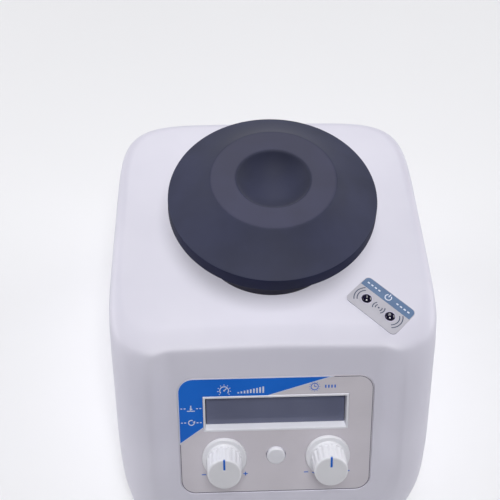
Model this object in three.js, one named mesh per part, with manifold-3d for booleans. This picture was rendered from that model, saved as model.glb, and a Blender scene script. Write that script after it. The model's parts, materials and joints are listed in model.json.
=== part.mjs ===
// A bench orbital mixer for tubes and flasks: a moulded housing with a sloping front panel, and a wide
// rubber head that a motor drives round a small circle without turning it.
// Lengths are in millimetres. The housing is laid out from the head's axis at bench level: X to the
// right, Y to the back, Z up. The finished group is then set with the middle of its base at zero.
import * as THREE from "three";
import { mergeVertices } from "three/addons/utils/BufferGeometryUtils.js";
import Module from "manifold-3d";

const wasm = await Module();
wasm.setup();

// Housing
const bodyWidth = 163;
const backReach = 86.4; // head axis to the back wall
const frontReach = 60.4; // head axis to the flat front, at deck level
const cheekReach = 7.4; // how far the cheeks' outline lies ahead of the flat front
const cheekGap = 2.4; // panel to where the cheeks begin to rise
const cheekRise = 13; // across, from there to the cheeks' crests
const cheekFade = 52; // deck to where the cheeks begin to sink into the lip
const outlinePower = 6; // squareness of the outline: 2 would be an ellipse
const deckHeight = 113;
const slopeAngle = 36; // the front's lean from upright, in degrees
const bendShare = 1 / 3; // of the lip, half the height of the bend between it and the slope
const deckFillet = 7;
const hemBevel = 1.5;
const shellWall = 3;

// Base and feet
const footHeight = 8;
const footRadius = 9;
const footTaper = 1;
const footRecessRadius = 5;
const footRecessDepth = 4;
const basePlateThickness = 4;
const footScrewRadius = 2;
const footScrewHeadRadius = 4;
const footScrewHeadHeight = 2.4;
const footScrewLength = 22;
const towerRadius = 5.5;
const towerHeight = 28; // above the base plate
const ribThickness = 2.5; // tower to the nearest wall
const backFootInset = 21.5; // side wall to the foot's middle
const frontFootInset = 23.5;
const backFootSetback = 22.4; // back wall to the foot's middle
const frontFootSetback = 25.07; // front lip to the foot's middle
const ventWidth = 3;
const ventLength = 34;
const ventPitch = 9;
const ventSideRows = 3; // either side of the middle one

// Rubber head
const headRadius = 50;
const headRimHeight = 7;
const headRimFlare = 0.4;
const headLift = 29.1; // deck to the underside of the rim
const crownLift = 47.7; // deck to the crown
const crownRadius = 29.5;
const crownRound = 0.8;
const coneHollow = 0.9; // how far the upper cone sags below a straight line
const cupRadius = 17.5;
const cupDepth = 10.5;

// Hub, bearing and crank under the head
const orbitRadius = 2.25; // crank pin's offset from the motor's axis
const hubDiscRadius = 32;
const hubDiscThickness = 5.6;
const hubBossRadius = 19;
const hubBossLength = 17;
const hubShoulderRadius = 11;
const headBearingRadius = 14;
const headBearingWidth = 8;
const crankPinRadius = 6;
const crankPinLength = 18.5;
const crankHubRadius = 10;
const crankHubHeight = 11;
const crankClearance = 2; // motor plate to crank
const counterweightRadius = 27;
const counterweightThickness = 8;
const counterweightLift = 1.5;
const counterweightSpread = 160; // degrees
const headWasherRadius = 9;
const headWasherThickness = 1;
const headScrewRadius = 2.5;
const headScrewHeadRadius = 4.5;
const headScrewHeadHeight = 4;
const headScrewLength = 12;
const setScrewRadius = 1.5;

// Boot and its clamp ring
const bootRadius = 36.4; // where it leaves the deck
const bootTopRadius = 30;
const bootWall = 2;
const bootFlangeReach = 3.6;
const bootFlangeThickness = 2;
const bootFoldDepth = 1.6;
const deckHoleClearance = 0.4;
const clampRingThickness = 3;
const clampRimWidth = 5.2;
const clampScrewRadius = 1.5;
const clampScrewStart = -30; // degrees round the motor's axis, from the right

// Sprung motor plate
const hangBossRadius = 5.5;
const hangStart = -90;
const hangClearance = 2; // clamp ring to the bosses that the shoulder bolts screw into
const pressTravel = 1.5;
const motorPlateDrop = 7; // deck's underside to the motor plate
const motorPlateThickness = 3;
const plateLobeRadius = 9;
const plateTabWidth = 18;
const tabClearance = 2.25; // clamp ring to the tab's end
const shoulderRadius = 3;
const shoulderLength = 18.4;
const shoulderHeadRadius = 6;
const shoulderHeadHeight = 4;
const shoulderThreadRadius = 2.5;
const shoulderThreadLength = 5;
const springRadius = 4.6;
const springWire = 0.6; // radius of the wire
const springTurns = 4;
const springStepsPerTurn = 7;

// Motor
const motorRadius = 32;
const motorClearance = 6.4; // tallest part of the power board to the motor
const motorWall = 1.5;
const motorFaceThickness = 4;
const motorShaftRadius = 4;
const shaftHoleRadius = 5.2;
const motorBearingRadius = 11;
const motorBearingWidth = 7;
const bearingSeatWall = 1.6;
const endCapThickness = 3;
const statorInnerRadius = 20;
const statorEndRoom = 13; // motor's ends to the laminated core
const rotorCoreRadius = 19.4;
const rotorCoreInset = 2; // shorter than the stator's core at each end
const motorScrewPitchRadius = 22;
const motorScrewRadius = 1.9;
const motorScrewStart = 45;

// Touch switch and its bracket
const touchSwitchWidth = 19.8;
const touchSwitchDepth = 6.4;
const touchSwitchHeight = 10.6;
const touchPlungerRadius = 1.4;
const touchPlungerHeight = 2.6;
const bracketThickness = 1.5;
const bracketFlange = 9;
const bracketWidth = 22;

// Front panel, laid out down the slope from deck level
const panelTop = 18.6;
const windowDrop = 10.8; // panel's upper edge to the window's
const displayLength = 17.2;
const knobDrop = 15.2; // window's lower edge to the knobs' axes
const panelFoot = 21.4; // knobs' axes to the panel's lower edge
const slopeFoot = 13.21; // panel's lower edge to the end of the slope
const displayWidth = 68.9;
const panelSide = 13.05; // window to the panel's side edges
const panelCorner = 7.5;
const panelThickness = 0.6;
const displayRim = 1;
const displayRimProud = 0.3;
const displayDepth = 4.6;
const displayGlassThickness = 1.2;
const moduleSide = 1.55; // how far the module runs past the window across
const moduleEnd = 4.7; // and along the slope
const displayModuleThickness = 3.5;
const knobX = 25.6;
const boardDepth = 10.2; // front surface to the control board
const boardSideInset = 2.6; // panel's edges to the board's
const boardEndInset = 2;
const boardThickness = 1.6;
const boardPostRadius = 2.8;
const boardPostMargin = 4;

// Knobs, encoders and mode button
const knobRadius = 11;
const knobSkirtHeight = 2.4;
const knobGripRadius = 8.6;
const knobGripTaper = 0.5;
const knobHeight = 15;
const knobRound = 1;
const knobLift = 0.5;
const knobBoreDepth = 11;
const pointerWidth = 1.2;
const pointerDepth = 0.5;
const encoderWidth = 12.5;
const encoderShaftRadius = 3;
const bushingRadius = 3.5;
const bushingProud = 0.2;
const buttonRadius = 4.6;
const buttonProud = 1.8;
const buttonFlange = 1.2;
const buttonFlangeThickness = 1;
const buttonTravel = 0.8;
const buttonSwitchWidth = 6;
const buttonSwitchHeight = 3.4;
const buttonPlungerRadius = 1.7;

// Sensor plate on the deck
const sensorInset = 29.6; // side wall to the plate's middle
const sensorSetback = 18.6; // front edge of the deck to the plate's middle
const sensorTurn = -46; // degrees
const sensorPlateLength = 30.4;
const sensorPlateWidth = 18.2;
const sensorPlateCorner = 2.6;
const sensorPlateThickness = 0.8;
const lensRadius = 2.4;
const lensPitch = 14.4;
const lensOffset = -1.9; // the lenses' row from the plate's middle line
const lensProud = 1.9;
const lensFlange = 0.6;
const lensFlangeThickness = 1;
const sensorBoardDrop = 8; // deck to the sensor board
const sensorBoardLength = 24;
const sensorBoardWidth = 11;

// Power inlet and switch on the back wall
const rearRow = 42;
const inletInset = 51.5; // side wall to the inlet's middle, and the switch's
const inletDepth = 22;
const inletFlange = 3;
const inletFlangeThickness = 1.8;
const socketWidth = 23.6;
const socketHeight = 15.8;
const socketDepth = 16;
const socketCorner = 4.6;
const socketSideWall = 1.7;
const socketTopWall = 2;
const socketFloorWall = 5.4; // socket to fuse drawer
const pinWidth = 2;
const pinHeight = 4;
const pinLength = 11;
const pinPitch = 7;
const pinDrop = 2;
const fuseWidth = 20;
const fuseHeight = 7.4;
const fuseDepth = 13;
const fuseWall = 2.4;
const switchSideWall = 1.4;
const switchEndWall = 1.55;
const switchDepth = 13;
const switchFlange = 1.4;
const switchFlangeThickness = 1.6;
const rockerHalf = 7.4;
const rockerWidth = 9.6;
const rockerRise = 2.6;
const rockerTilt = 10; // degrees either way
const rockerPivotDepth = 1.2;

// Power board on the base
const powerBoardWidth = 96;
const powerBoardLength = 52;
const powerBoardY = 8;
const powerBoardLift = 7;
const powerPostRadius = 3;
const transformerWidth = 34;
const transformerLength = 28;
const transformerHeight = 17;
const capacitorRadius = 6.5;
const capacitorHeight = 16;
const heatSinkWidth = 3;
const heatSinkLength = 34;
const heatSinkHeight = 15;

// Shares that repeated forms are built on
const screwSocketShare = 0.8; // of the shank's radius
const coneShares = [0.3, 0.6, 0.85]; // across the head's cone
const foldShares = [[0.12, 0], [0.3, 1], [0.48, 0], [0.66, 1], [0.84, 0]]; // up the boot, and how deep
const lobeSteps = [-60, -30, 0, 30, 60]; // degrees round the end of a lobe
const lensDomeShare = 0.6; // the dome's height against its radius
const chipShare = 6; // the largest chip's side against the board's thickness
const transformerShare = 1 / 5; // of the power board, from its middle
const capacitorShare = 1 / 4;
const heatSinkShare = 2 / 5;

// Clearances
const seatGap = 0.3;
const runningGap = 0.1;
const screwGap = 0.2;
const cutOverrun = 1;

// How finely round forms are divided
const wideSides = 40;
const roundSides = 24;
const middleSides = 20;
const smallSides = 10;
const quarterSteps = 14;
const filletSteps = 4;
const innerFilletSteps = 2;
const bendSteps = 3;
const cupSteps = 5;
const lensDomeSteps = 4;
const cornerSteps = 5;
const weightSteps = 12;
const wireSteps = 3;
const rockerSteps = 8;

// Heights and planes that several pieces share
const degree = Math.PI / 180;
const lean = slopeAngle * degree;
const basePlateTop = footHeight + basePlateThickness;
const deckUnderside = deckHeight - shellWall;
const motorPlateTop = deckUnderside - motorPlateDrop;
const motorPlateBottom = motorPlateTop - motorPlateThickness;
const powerBoardBottom = basePlateTop + powerBoardLift;
const powerBoardTop = powerBoardBottom + boardThickness;
const motorBottom = powerBoardTop + Math.max(transformerHeight, capacitorHeight) + motorClearance;
const motorLength = motorPlateBottom - motorBottom;
const statorLength = motorLength - 2 * statorEndRoom;
const rotorCoreLength = statorLength - 2 * rotorCoreInset;
const crankBottom = motorPlateTop + crankClearance;
const crankTop = crankBottom + crankHubHeight;
const crankPinTop = crankTop + crankPinLength;
const headBottom = deckHeight + headLift;
const crownTop = deckHeight + crownLift;
const hubTop = headBottom + hubDiscThickness;
const hubBottom = headBottom - hubBossLength;
const headBearingTop = crankPinTop - runningGap;
const headBearingBottom = headBearingTop - headBearingWidth;
const deckHoleRadius = bootRadius + deckHoleClearance;
const bootFlangeRadius = bootRadius + bootFlangeReach;
const clampTop = deckUnderside - bootFlangeThickness;
const clampBottom = clampTop - clampRingThickness;
const clampRimInner = bootFlangeRadius + seatGap;
const clampRimOuter = clampRimInner + clampRimWidth;
const clampScrewPitchRadius = (clampRimInner + clampRimOuter) / 2;
const hangRadius = clampRimOuter + hangClearance + hangBossRadius; // motor axis to each shoulder bolt
const plateTabReach = orbitRadius + clampRimOuter + tabClearance;
const shoulderHeadTop = deckUnderside - motorPlateDrop + seatGap - shoulderLength;
const displayTop = panelTop + windowDrop;
const displayMiddle = displayTop + displayLength / 2;
const displayBack = displayDepth + displayGlassThickness;
const controlRow = displayTop + displayLength + knobDrop;
const panelLength = controlRow + panelFoot - panelTop;
const panelWidth = displayWidth + 2 * panelSide;
const panelMiddle = panelTop + panelLength / 2;
const boardWidth = panelWidth - 2 * boardSideInset;
const boardLength = panelLength - 2 * boardEndInset;
const flatFrontHalf = panelWidth / 2 + cheekGap;
const cheekCrestHalf = flatFrontHalf + cheekRise;
const slopeDrop = (panelTop + panelLength + slopeFoot) * Math.cos(lean);
const lipHeight = deckHeight - footHeight - slopeDrop; // upright wall under the sloping front
const lipReach = frontReach + slopeDrop * Math.tan(lean);
const slopeBend = lipHeight * bendShare;
const sensorX = bodyWidth / 2 - sensorInset;
const sensorY = sensorSetback - frontReach;
const inletX = inletInset - bodyWidth / 2;
const switchX = bodyWidth / 2 - inletInset;
const inletWidth = socketWidth + 2 * socketSideWall;
const inletHeight = socketTopWall + socketHeight + socketFloorWall + fuseHeight + fuseWall;
const socketRise = inletHeight / 2 - socketTopWall - socketHeight / 2; // above the inlet's middle
const fuseDrop = inletHeight / 2 - fuseWall - fuseHeight / 2;
const rockerReach = Math.hypot(rockerHalf, rockerRise);
const switchWidth = rockerWidth + 2 * (seatGap + switchSideWall);
const switchHeight = 2 * (rockerReach + seatGap + switchEndWall);

// The colour, roughness and metalness of each finish
const finishes = {
  housing: [0xdcdae6, 0.45, 0],
  rubber: [0x2b2b38, 0.85, 0],
  boot: [0x35353f, 0.9, 0],
  foot: [0x1d1d20, 0.9, 0],
  blackSteel: [0x3c3e42, 0.5, 0.8],
  zinc: [0xb4b8bc, 0.4, 0.9],
  aluminium: [0xc4c6ca, 0.35, 0.9],
  steel: [0x9da0a4, 0.3, 1],
  copper: [0xa8623a, 0.5, 0.8],
  panel: [0x1454ab, 0.4, 0],
  white: [0xe9e9ec, 0.4, 0],
  knob: [0xe4e4e8, 0.4, 0],
  darkGlass: [0x3c404e, 0.12, 0],
  sensorPlate: [0xb3b1bc, 0.4, 0.1],
  lens: [0x15122a, 0.08, 0],
  board: [0x1f5a38, 0.5, 0],
  blackPlastic: [0x1b1b1e, 0.5, 0],
};

function closedSolid(geometry) {
  const bare = geometry.index ? geometry.toNonIndexed() : geometry.clone();
  bare.deleteAttribute("normal");
  bare.deleteAttribute("uv");
  const merged = mergeVertices(bare);
  const corners = merged.index.array;
  const kept = [];
  for (let i = 0; i < corners.length; i += 3) {
    const [a, b, c] = corners.slice(i, i + 3);
    if (a !== b && b !== c && c !== a) kept.push(a, b, c);
  }
  const wrap = (order) =>
    new wasm.Manifold(
      new wasm.Mesh({
        numProp: 3,
        vertProperties: merged.attributes.position.array,
        triVerts: new Uint32Array(order),
      }),
    );
  const solid = wrap(kept);
  return solid.volume() < 0 ? wrap(kept.reverse()) : solid;
}

function geometryOf(solid) {
  const made = solid.getMesh();
  const geometry = new THREE.BufferGeometry();
  geometry.setAttribute("position", new THREE.BufferAttribute(made.vertProperties, 3));
  geometry.setIndex(new THREE.BufferAttribute(made.triVerts, 1));
  geometry.computeVertexNormals();
  return geometry;
}

function join(first, ...others) {
  return geometryOf(others.reduce((whole, next) => whole.add(closedSolid(next)), closedSolid(first)));
}

function cut(first, ...tools) {
  return geometryOf(tools.reduce((whole, tool) => whole.subtract(closedSolid(tool)), closedSolid(first)));
}

function overlapOf(first, second) {
  return geometryOf(closedSolid(first).intersect(closedSolid(second)));
}

// A cylinder on the Z axis between two heights.
function rod(radius, from, to, sides = smallSides) {
  const height = to - from;
  return new THREE.CylinderGeometry(radius, radius, height, sides)
    .rotateX(Math.PI / 2)
    .translate(0, 0, (from + to) / 2);
}

// A block centred on the Z axis between two heights.
function block(width, length, from, to) {
  return new THREE.BoxGeometry(width, length, to - from).translate(0, 0, (from + to) / 2);
}

function slab(shape, from, to) {
  const settings = { depth: to - from, bevelEnabled: false, curveSegments: cornerSteps };
  return new THREE.ExtrudeGeometry(shape, settings).translate(0, 0, from);
}

// A solid of revolution about Z from pairs of radius and height.
function turned(profile, sides = roundSides) {
  const points = profile.map(([radius, height]) => new THREE.Vector2(radius, height));
  return join(new THREE.LatheGeometry(points, sides).rotateX(Math.PI / 2));
}

// A ring about Z, whose section closes on itself.
function turnedRing(profile, sides = roundSides) {
  return turned([...profile, profile[0]], sides);
}

function washer(inner, outer, from, to, sides = roundSides) {
  return turnedRing([[inner, from], [outer, from], [outer, to], [inner, to]], sides);
}

function roundedRectangle(width, length, corner) {
  const x = width / 2;
  const y = length / 2;
  const shape = new THREE.Shape();
  shape.absarc(x - corner, y - corner, corner, 0, Math.PI / 2);
  shape.absarc(corner - x, y - corner, corner, Math.PI / 2, Math.PI);
  shape.absarc(corner - x, corner - y, corner, Math.PI, Math.PI * 1.5);
  shape.absarc(x - corner, corner - y, corner, Math.PI * 1.5, Math.PI * 2);
  return shape;
}

// A closed skin over outlines of the same number of points, given from the lowest to the highest.
function loft(outlines) {
  const count = outlines[0].length;
  const index = [];
  for (let level = 0; level + 1 < outlines.length; level++) {
    for (let i = 0; i < count; i++) {
      const a = level * count + i;
      const b = level * count + ((i + 1) % count);
      index.push(a, b, b + count, a, b + count, a + count);
    }
  }
  const capOf = (outline) => THREE.ShapeUtils.triangulateShape(outline, []);
  const top = (outlines.length - 1) * count;
  for (const [a, b, c] of capOf(outlines[0])) index.push(c, b, a);
  for (const [a, b, c] of capOf(outlines.at(-1))) index.push(top + a, top + b, top + c);
  const geometry = new THREE.BufferGeometry().setFromPoints(outlines.flat());
  return geometry.setIndex(index);
}

// How far the sloping front has run forward at a height: straight, then bent into the upright lip.
function frontRun(height) {
  const depth = deckHeight - height;
  const past = depth - (slopeDrop - slopeBend);
  const slope = Math.tan(lean);
  if (past <= 0) return slope * depth;
  if (past >= 2 * slopeBend) return slope * slopeDrop;
  return slope * (depth - (past * past) / (4 * slopeBend));
}

// The housing's outline at a height, drawn in from the outer surface by inset.
function bodyOutline(height, inset) {
  const halfWidth = bodyWidth / 2 - inset;
  const backY = backReach - inset;
  const flatY = inset / Math.cos(lean) - frontReach - frontRun(height);
  const sunk = THREE.MathUtils.smoothstep(deckHeight - height, cheekFade, slopeDrop + slopeBend);
  const cheekY = flatY - cheekReach * (1 - sunk);
  const middleY = (backY + cheekY) / 2;
  const halfDepth = (backY - cheekY) / 2;
  const bulge = (share) => Math.sign(share) * Math.abs(share) ** (2 / outlinePower);
  const points = [];
  for (let i = 0; i < 4 * quarterSteps; i++) {
    const turn = ((i / quarterSteps) * Math.PI) / 2;
    const x = halfWidth * bulge(i % (2 * quarterSteps) === quarterSteps ? 0 : Math.cos(turn));
    let y = middleY + halfDepth * bulge(i % (2 * quarterSteps) === 0 ? 0 : Math.sin(turn));
    if (y < middleY) {
      const cheek = THREE.MathUtils.smoothstep(Math.abs(x), flatFrontHalf, cheekCrestHalf);
      y = THREE.MathUtils.lerp(flatY, y, cheek);
    }
    points.push(new THREE.Vector3(x, y, height));
  }
  return points;
}

// Heights of the outlines through the bend at the foot of the slope and up to where the cheeks start.
function bendHeights() {
  const heights = [];
  for (let i = 0; i <= bendSteps; i++) {
    heights.push(footHeight + lipHeight + slopeBend * ((2 * i) / bendSteps - 1));
  }
  const fadeTop = deckHeight - cheekFade;
  return [...heights, (heights.at(-1) + fadeTop) / 2, fadeTop];
}

function bodySkin(inset, fillet, bottom, steps) {
  const roof = deckHeight - inset;
  const outlines = bottom.concat(bendHeights().map((height) => bodyOutline(height, inset)));
  for (let i = 0; i <= steps; i++) {
    const turn = ((i / steps) * Math.PI) / 2;
    const height = roof - fillet * (1 - Math.sin(turn));
    outlines.push(bodyOutline(height, inset + fillet * (1 - Math.cos(turn))));
  }
  return loft(outlines);
}

const feet = [
  [bodyWidth / 2 - frontFootInset, frontFootSetback - lipReach],
  [frontFootInset - bodyWidth / 2, frontFootSetback - lipReach],
  [bodyWidth / 2 - backFootInset, backReach - backFootSetback],
  [backFootInset - bodyWidth / 2, backReach - backFootSetback],
];

// The frame of the sloping front: its own X is the part's, its Y runs up the slope and its Z stands
// straight out of it. Heights along the slope are negative below deck level.
const slopeFrame = new THREE.Matrix4().makeBasis(
  new THREE.Vector3(1, 0, 0),
  new THREE.Vector3(0, Math.sin(lean), Math.cos(lean)),
  new THREE.Vector3(0, -Math.cos(lean), Math.sin(lean)),
);
slopeFrame.setPosition(0, -frontReach, deckHeight);

// The frame of the back wall, whose Z stands straight out of it.
const backFrame = new THREE.Matrix4().makeBasis(
  new THREE.Vector3(-1, 0, 0),
  new THREE.Vector3(0, 0, 1),
  new THREE.Vector3(0, 1, 0),
);
backFrame.setPosition(0, backReach, rearRow);

// Places round the motor's axis, in equal steps from a start in degrees from the right.
function around(count, radius, startAngle) {
  return Array.from({ length: count }, (_, i) => {
    const turn = startAngle * degree + (i / count) * 2 * Math.PI;
    return [radius * Math.cos(turn), orbitRadius + radius * Math.sin(turn)];
  });
}

const hangPoints = around(3, hangRadius, hangStart);
const clampScrewPoints = around(3, clampScrewPitchRadius, clampScrewStart);
const motorScrewPoints = around(4, motorScrewPitchRadius, motorScrewStart);
const boardPosts = [-1, 1].flatMap((side) =>
  [-1, 1].map((end) => [
    side * (boardWidth / 2 - boardPostMargin),
    end * (boardLength / 2 - boardPostMargin) - panelMiddle,
  ]),
);

function sensorPlaced(geometry) {
  return geometry.rotateZ(sensorTurn * degree).translate(sensorX, sensorY, 0);
}

function lensPlaces() {
  return [-1, 1].map((side) => [(side * lensPitch) / 2, lensOffset]);
}

function housingShell() {
  const hem = [bodyOutline(footHeight, hemBevel), bodyOutline(footHeight + hemBevel, 0)];
  const outer = bodySkin(0, deckFillet, hem, filletSteps);
  const mouth = [bodyOutline(footHeight - cutOverrun, shellWall)];
  const inner = bodySkin(shellWall, deckFillet - shellWall, mouth, innerFilletSteps);
  const towerTop = basePlateTop + towerHeight;
  const towers = feet.map(([x, y]) => rod(towerRadius, basePlateTop, towerTop).translate(x, y, 0));
  const ribs = feet.map(([x, y]) => {
    const reach = y < 0 ? -frontFootSetback : backFootSetback;
    return block(ribThickness, Math.abs(reach), basePlateTop, towerTop).translate(x, y + reach / 2, 0);
  });
  const hangBosses = hangPoints.map(([x, y]) =>
    rod(hangBossRadius, motorPlateTop + seatGap, deckHeight - shellWall / 2).translate(x, y, 0),
  );
  const posts = boardPosts.map(([x, y]) =>
    rod(boardPostRadius, seatGap - boardDepth, -shellWall / 2).translate(x, y, 0).applyMatrix4(slopeFrame),
  );
  const inside = overlapOf(outer, join(towers[0], ...towers.slice(1), ...ribs, ...hangBosses, ...posts));
  const shell = join(cut(outer, inner), inside);
  return cut(shell, ...deckCuts(), ...frontCuts(), ...backCuts(), ...screwHoles());
}

function deckCuts() {
  const headHole = rod(deckHoleRadius, clampTop, deckHeight + cutOverrun, wideSides);
  const lensHoles = lensPlaces().map(([x, y]) =>
    sensorPlaced(
      rod(lensRadius + seatGap, deckUnderside - cutOverrun, deckHeight + cutOverrun).translate(x, y, 0),
    ),
  );
  return [headHole.translate(0, orbitRadius, 0), ...lensHoles];
}

function frontCuts() {
  const recessShape = roundedRectangle(
    panelWidth + 2 * seatGap, panelLength + 2 * seatGap, panelCorner + seatGap,
  );
  const recess = slab(recessShape, -panelThickness - seatGap, cutOverrun).translate(0, -panelMiddle, 0);
  const opening = 2 * (displayRim + seatGap);
  const window = block(displayWidth + opening, displayLength + opening, -shellWall - cutOverrun, 0)
    .translate(0, -displayMiddle, 0);
  const through = (radius, x) =>
    rod(radius, -shellWall - cutOverrun, 0, middleSides).translate(x, -controlRow, 0);
  const holes = [
    through(bushingRadius + seatGap, -knobX),
    through(bushingRadius + seatGap, knobX),
    through(buttonRadius + seatGap, 0),
  ];
  return [recess, window, ...holes].map((tool) => tool.applyMatrix4(slopeFrame));
}

function backCuts() {
  const through = (width, height, x) =>
    block(width + 2 * seatGap, height + 2 * seatGap, -shellWall - cutOverrun, cutOverrun)
      .translate(-x, 0, 0)
      .applyMatrix4(backFrame);
  return [through(inletWidth, inletHeight, inletX), through(switchWidth, switchHeight, switchX)];
}

function screwHoles() {
  const footHoles = feet.map(([x, y]) => {
    const top = footRecessDepth + footScrewLength + cutOverrun;
    return rod(footScrewRadius + screwGap, basePlateTop - cutOverrun, top).translate(x, y, 0);
  });
  const hangHoles = hangPoints.map(([x, y]) => {
    const top = motorPlateTop + seatGap + shoulderThreadLength + screwGap;
    return rod(shoulderThreadRadius + screwGap, motorPlateTop, top).translate(x, y, 0);
  });
  const clampHoles = clampScrewPoints.map(([x, y]) => {
    const top = deckUnderside + shellWall / 2;
    return rod(clampScrewRadius + screwGap, deckUnderside - cutOverrun, top).translate(x, y, 0);
  });
  return [...footHoles, ...hangHoles, ...clampHoles];
}

function basePlate() {
  const outline = bodyOutline(footHeight, shellWall + seatGap);
  const plate = slab(new THREE.Shape(outline), footHeight, basePlateTop);
  const holes = feet.map(([x, y]) =>
    rod(footScrewRadius + screwGap, footHeight - cutOverrun, basePlateTop + cutOverrun).translate(x, y, 0),
  );
  const vents = [];
  for (let row = -ventSideRows; row <= ventSideRows; row++) {
    const vent = block(ventWidth, ventLength, footHeight - cutOverrun, basePlateTop + cutOverrun);
    vents.push(vent.translate(row * ventPitch, (frontFootSetback - lipReach) / 2, 0));
  }
  const posts = powerPosts().map(([x, y]) =>
    rod(powerPostRadius, basePlateTop - basePlateThickness / 2, powerBoardBottom - seatGap).translate(x, y, 0),
  );
  return join(cut(plate, ...holes, ...vents), ...posts);
}

function powerPosts() {
  return [-1, 1].flatMap((side) =>
    [-1, 1].map((end) => [
      side * (powerBoardWidth / 2 - 2 * powerPostRadius),
      powerBoardY + end * (powerBoardLength / 2 - 2 * powerPostRadius),
    ]),
  );
}

function foot() {
  return turnedRing([
    [footScrewRadius + screwGap, footRecessDepth],
    [footRecessRadius, footRecessDepth],
    [footRecessRadius, 0],
    [footRadius - footTaper, 0],
    [footRadius, footTaper],
    [footRadius, footHeight],
    [footScrewRadius + screwGap, footHeight],
  ], middleSides);
}

// A screw with a round head that stands on the Z axis, its head's seat at zero and its shank upwards.
function screw(shankRadius, headRadius, headHeight, length) {
  const socketRadius = shankRadius * screwSocketShare;
  const socketDepth = headHeight / 2;
  const profile = [
    [0, socketDepth - headHeight],
    [socketRadius, socketDepth - headHeight],
    [socketRadius, -headHeight],
    [headRadius, -headHeight],
    [headRadius, 0],
    [shankRadius, 0],
    [shankRadius, length],
    [0, length],
  ];
  return turned(profile, smallSides);
}

function headPad() {
  const profile = [
    [0, hubTop],
    [hubDiscRadius + seatGap, hubTop],
    [hubDiscRadius + seatGap, headBottom],
    [headRadius + headRimFlare, headBottom],
    [headRadius, headBottom + headRimHeight],
  ];
  for (const share of coneShares) {
    const radius = THREE.MathUtils.lerp(headRadius, crownRadius, share);
    const straight = THREE.MathUtils.lerp(headBottom + headRimHeight, crownTop, share);
    profile.push([radius, straight - coneHollow * 4 * share * (1 - share)]);
  }
  profile.push([crownRadius, crownTop - crownRound / 2], [crownRadius - crownRound, crownTop]);
  const bowlRadius = (cupRadius ** 2 + cupDepth ** 2) / (2 * cupDepth);
  const bowlSpread = Math.asin(cupRadius / bowlRadius);
  for (let i = 0; i <= cupSteps; i++) {
    const turn = bowlSpread * (1 - i / cupSteps);
    const drop = cupDepth - bowlRadius * (1 - Math.cos(turn));
    profile.push([bowlRadius * Math.sin(turn), crownTop - drop]);
  }
  profile.at(-1)[0] = 0;
  return turned(profile, wideSides);
}

function headHub() {
  return turnedRing([
    [headBearingRadius + runningGap, hubBottom],
    [hubBossRadius, hubBottom],
    [hubBossRadius, headBottom],
    [hubDiscRadius, headBottom],
    [hubDiscRadius, hubTop],
    [hubShoulderRadius, hubTop],
    [hubShoulderRadius, headBearingTop],
    [headBearingRadius + runningGap, headBearingTop],
  ]);
}

function headBearing() {
  return washer(crankPinRadius + runningGap, headBearingRadius, headBearingBottom, headBearingTop);
}

// The shaft's hub, the pin that stands off its axis and the weight that balances the head. The set
// screw enters on the side that the weight leaves free.
function crank() {
  const weightBottom = crankBottom + counterweightLift;
  const half = (counterweightSpread / 2) * degree;
  const sector = new THREE.Shape();
  sector.moveTo(0, 0);
  sector.lineTo(counterweightRadius * Math.sin(half), counterweightRadius * Math.cos(half));
  sector.absarc(0, 0, counterweightRadius, Math.PI / 2 - half, Math.PI / 2 + half);
  sector.closePath();
  const weightSettings = { depth: counterweightThickness, bevelEnabled: false, curveSegments: weightSteps };
  const weight = new THREE.ExtrudeGeometry(sector, weightSettings).translate(0, 0, weightBottom);
  const hub = rod(crankHubRadius, crankBottom, crankTop, middleSides);
  const pin = rod(crankPinRadius, crankTop - cutOverrun, crankPinTop, middleSides).translate(0, -orbitRadius, 0);
  const shaftBore = rod(
    motorShaftRadius + runningGap, crankBottom - cutOverrun, crankTop - cutOverrun, middleSides,
  );
  const screwBore = rod(headScrewRadius + runningGap, crankPinTop - headScrewLength, crankPinTop + cutOverrun)
    .translate(0, -orbitRadius, 0);
  const setBore = rod(setScrewRadius + runningGap, 0, crankHubRadius + cutOverrun)
    .rotateX(Math.PI / 2)
    .translate(0, 0, setScrewHeight());
  return cut(join(hub, weight, pin), shaftBore, screwBore, setBore);
}

function setScrewHeight() {
  return crankBottom + counterweightLift + counterweightThickness / 2;
}

function setScrew() {
  return rod(setScrewRadius, motorShaftRadius + screwGap, crankHubRadius - screwGap)
    .rotateX(Math.PI / 2)
    .translate(0, 0, setScrewHeight());
}

function headWasher() {
  const bottom = crankPinTop + screwGap;
  return washer(headScrewRadius + runningGap, headWasherRadius, bottom, bottom + headWasherThickness, middleSides);
}

// A bellows of soft rubber, thicker at the flange that the clamp ring holds.
function headBoot() {
  const top = headBottom - seatGap;
  const wallPoints = (offset) =>
    foldShares.map(([share, fold]) => [
      THREE.MathUtils.lerp(bootRadius, bootTopRadius, share) - fold * bootFoldDepth - offset,
      THREE.MathUtils.lerp(deckHeight, top, share),
    ]);
  return turnedRing([
    [bootRadius - bootWall, clampTop],
    [bootFlangeRadius, clampTop],
    [bootFlangeRadius, deckUnderside],
    [bootRadius, deckUnderside],
    ...wallPoints(0),
    [bootTopRadius, top],
    [bootTopRadius - bootWall, top],
    ...wallPoints(bootWall).reverse(),
  ]);
}

function bootClampRing() {
  const ring = turnedRing([
    [bootRadius - bootWall, clampBottom],
    [clampRimOuter, clampBottom],
    [clampRimOuter, deckUnderside],
    [clampRimInner, deckUnderside],
    [clampRimInner, clampTop],
    [bootRadius - bootWall, clampTop],
  ]).translate(0, orbitRadius, 0);
  const holes = clampScrewPoints.map(([x, y]) =>
    rod(clampScrewRadius + screwGap, clampBottom - cutOverrun, deckUnderside + cutOverrun).translate(x, y, 0),
  );
  return cut(ring, ...holes);
}

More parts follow.
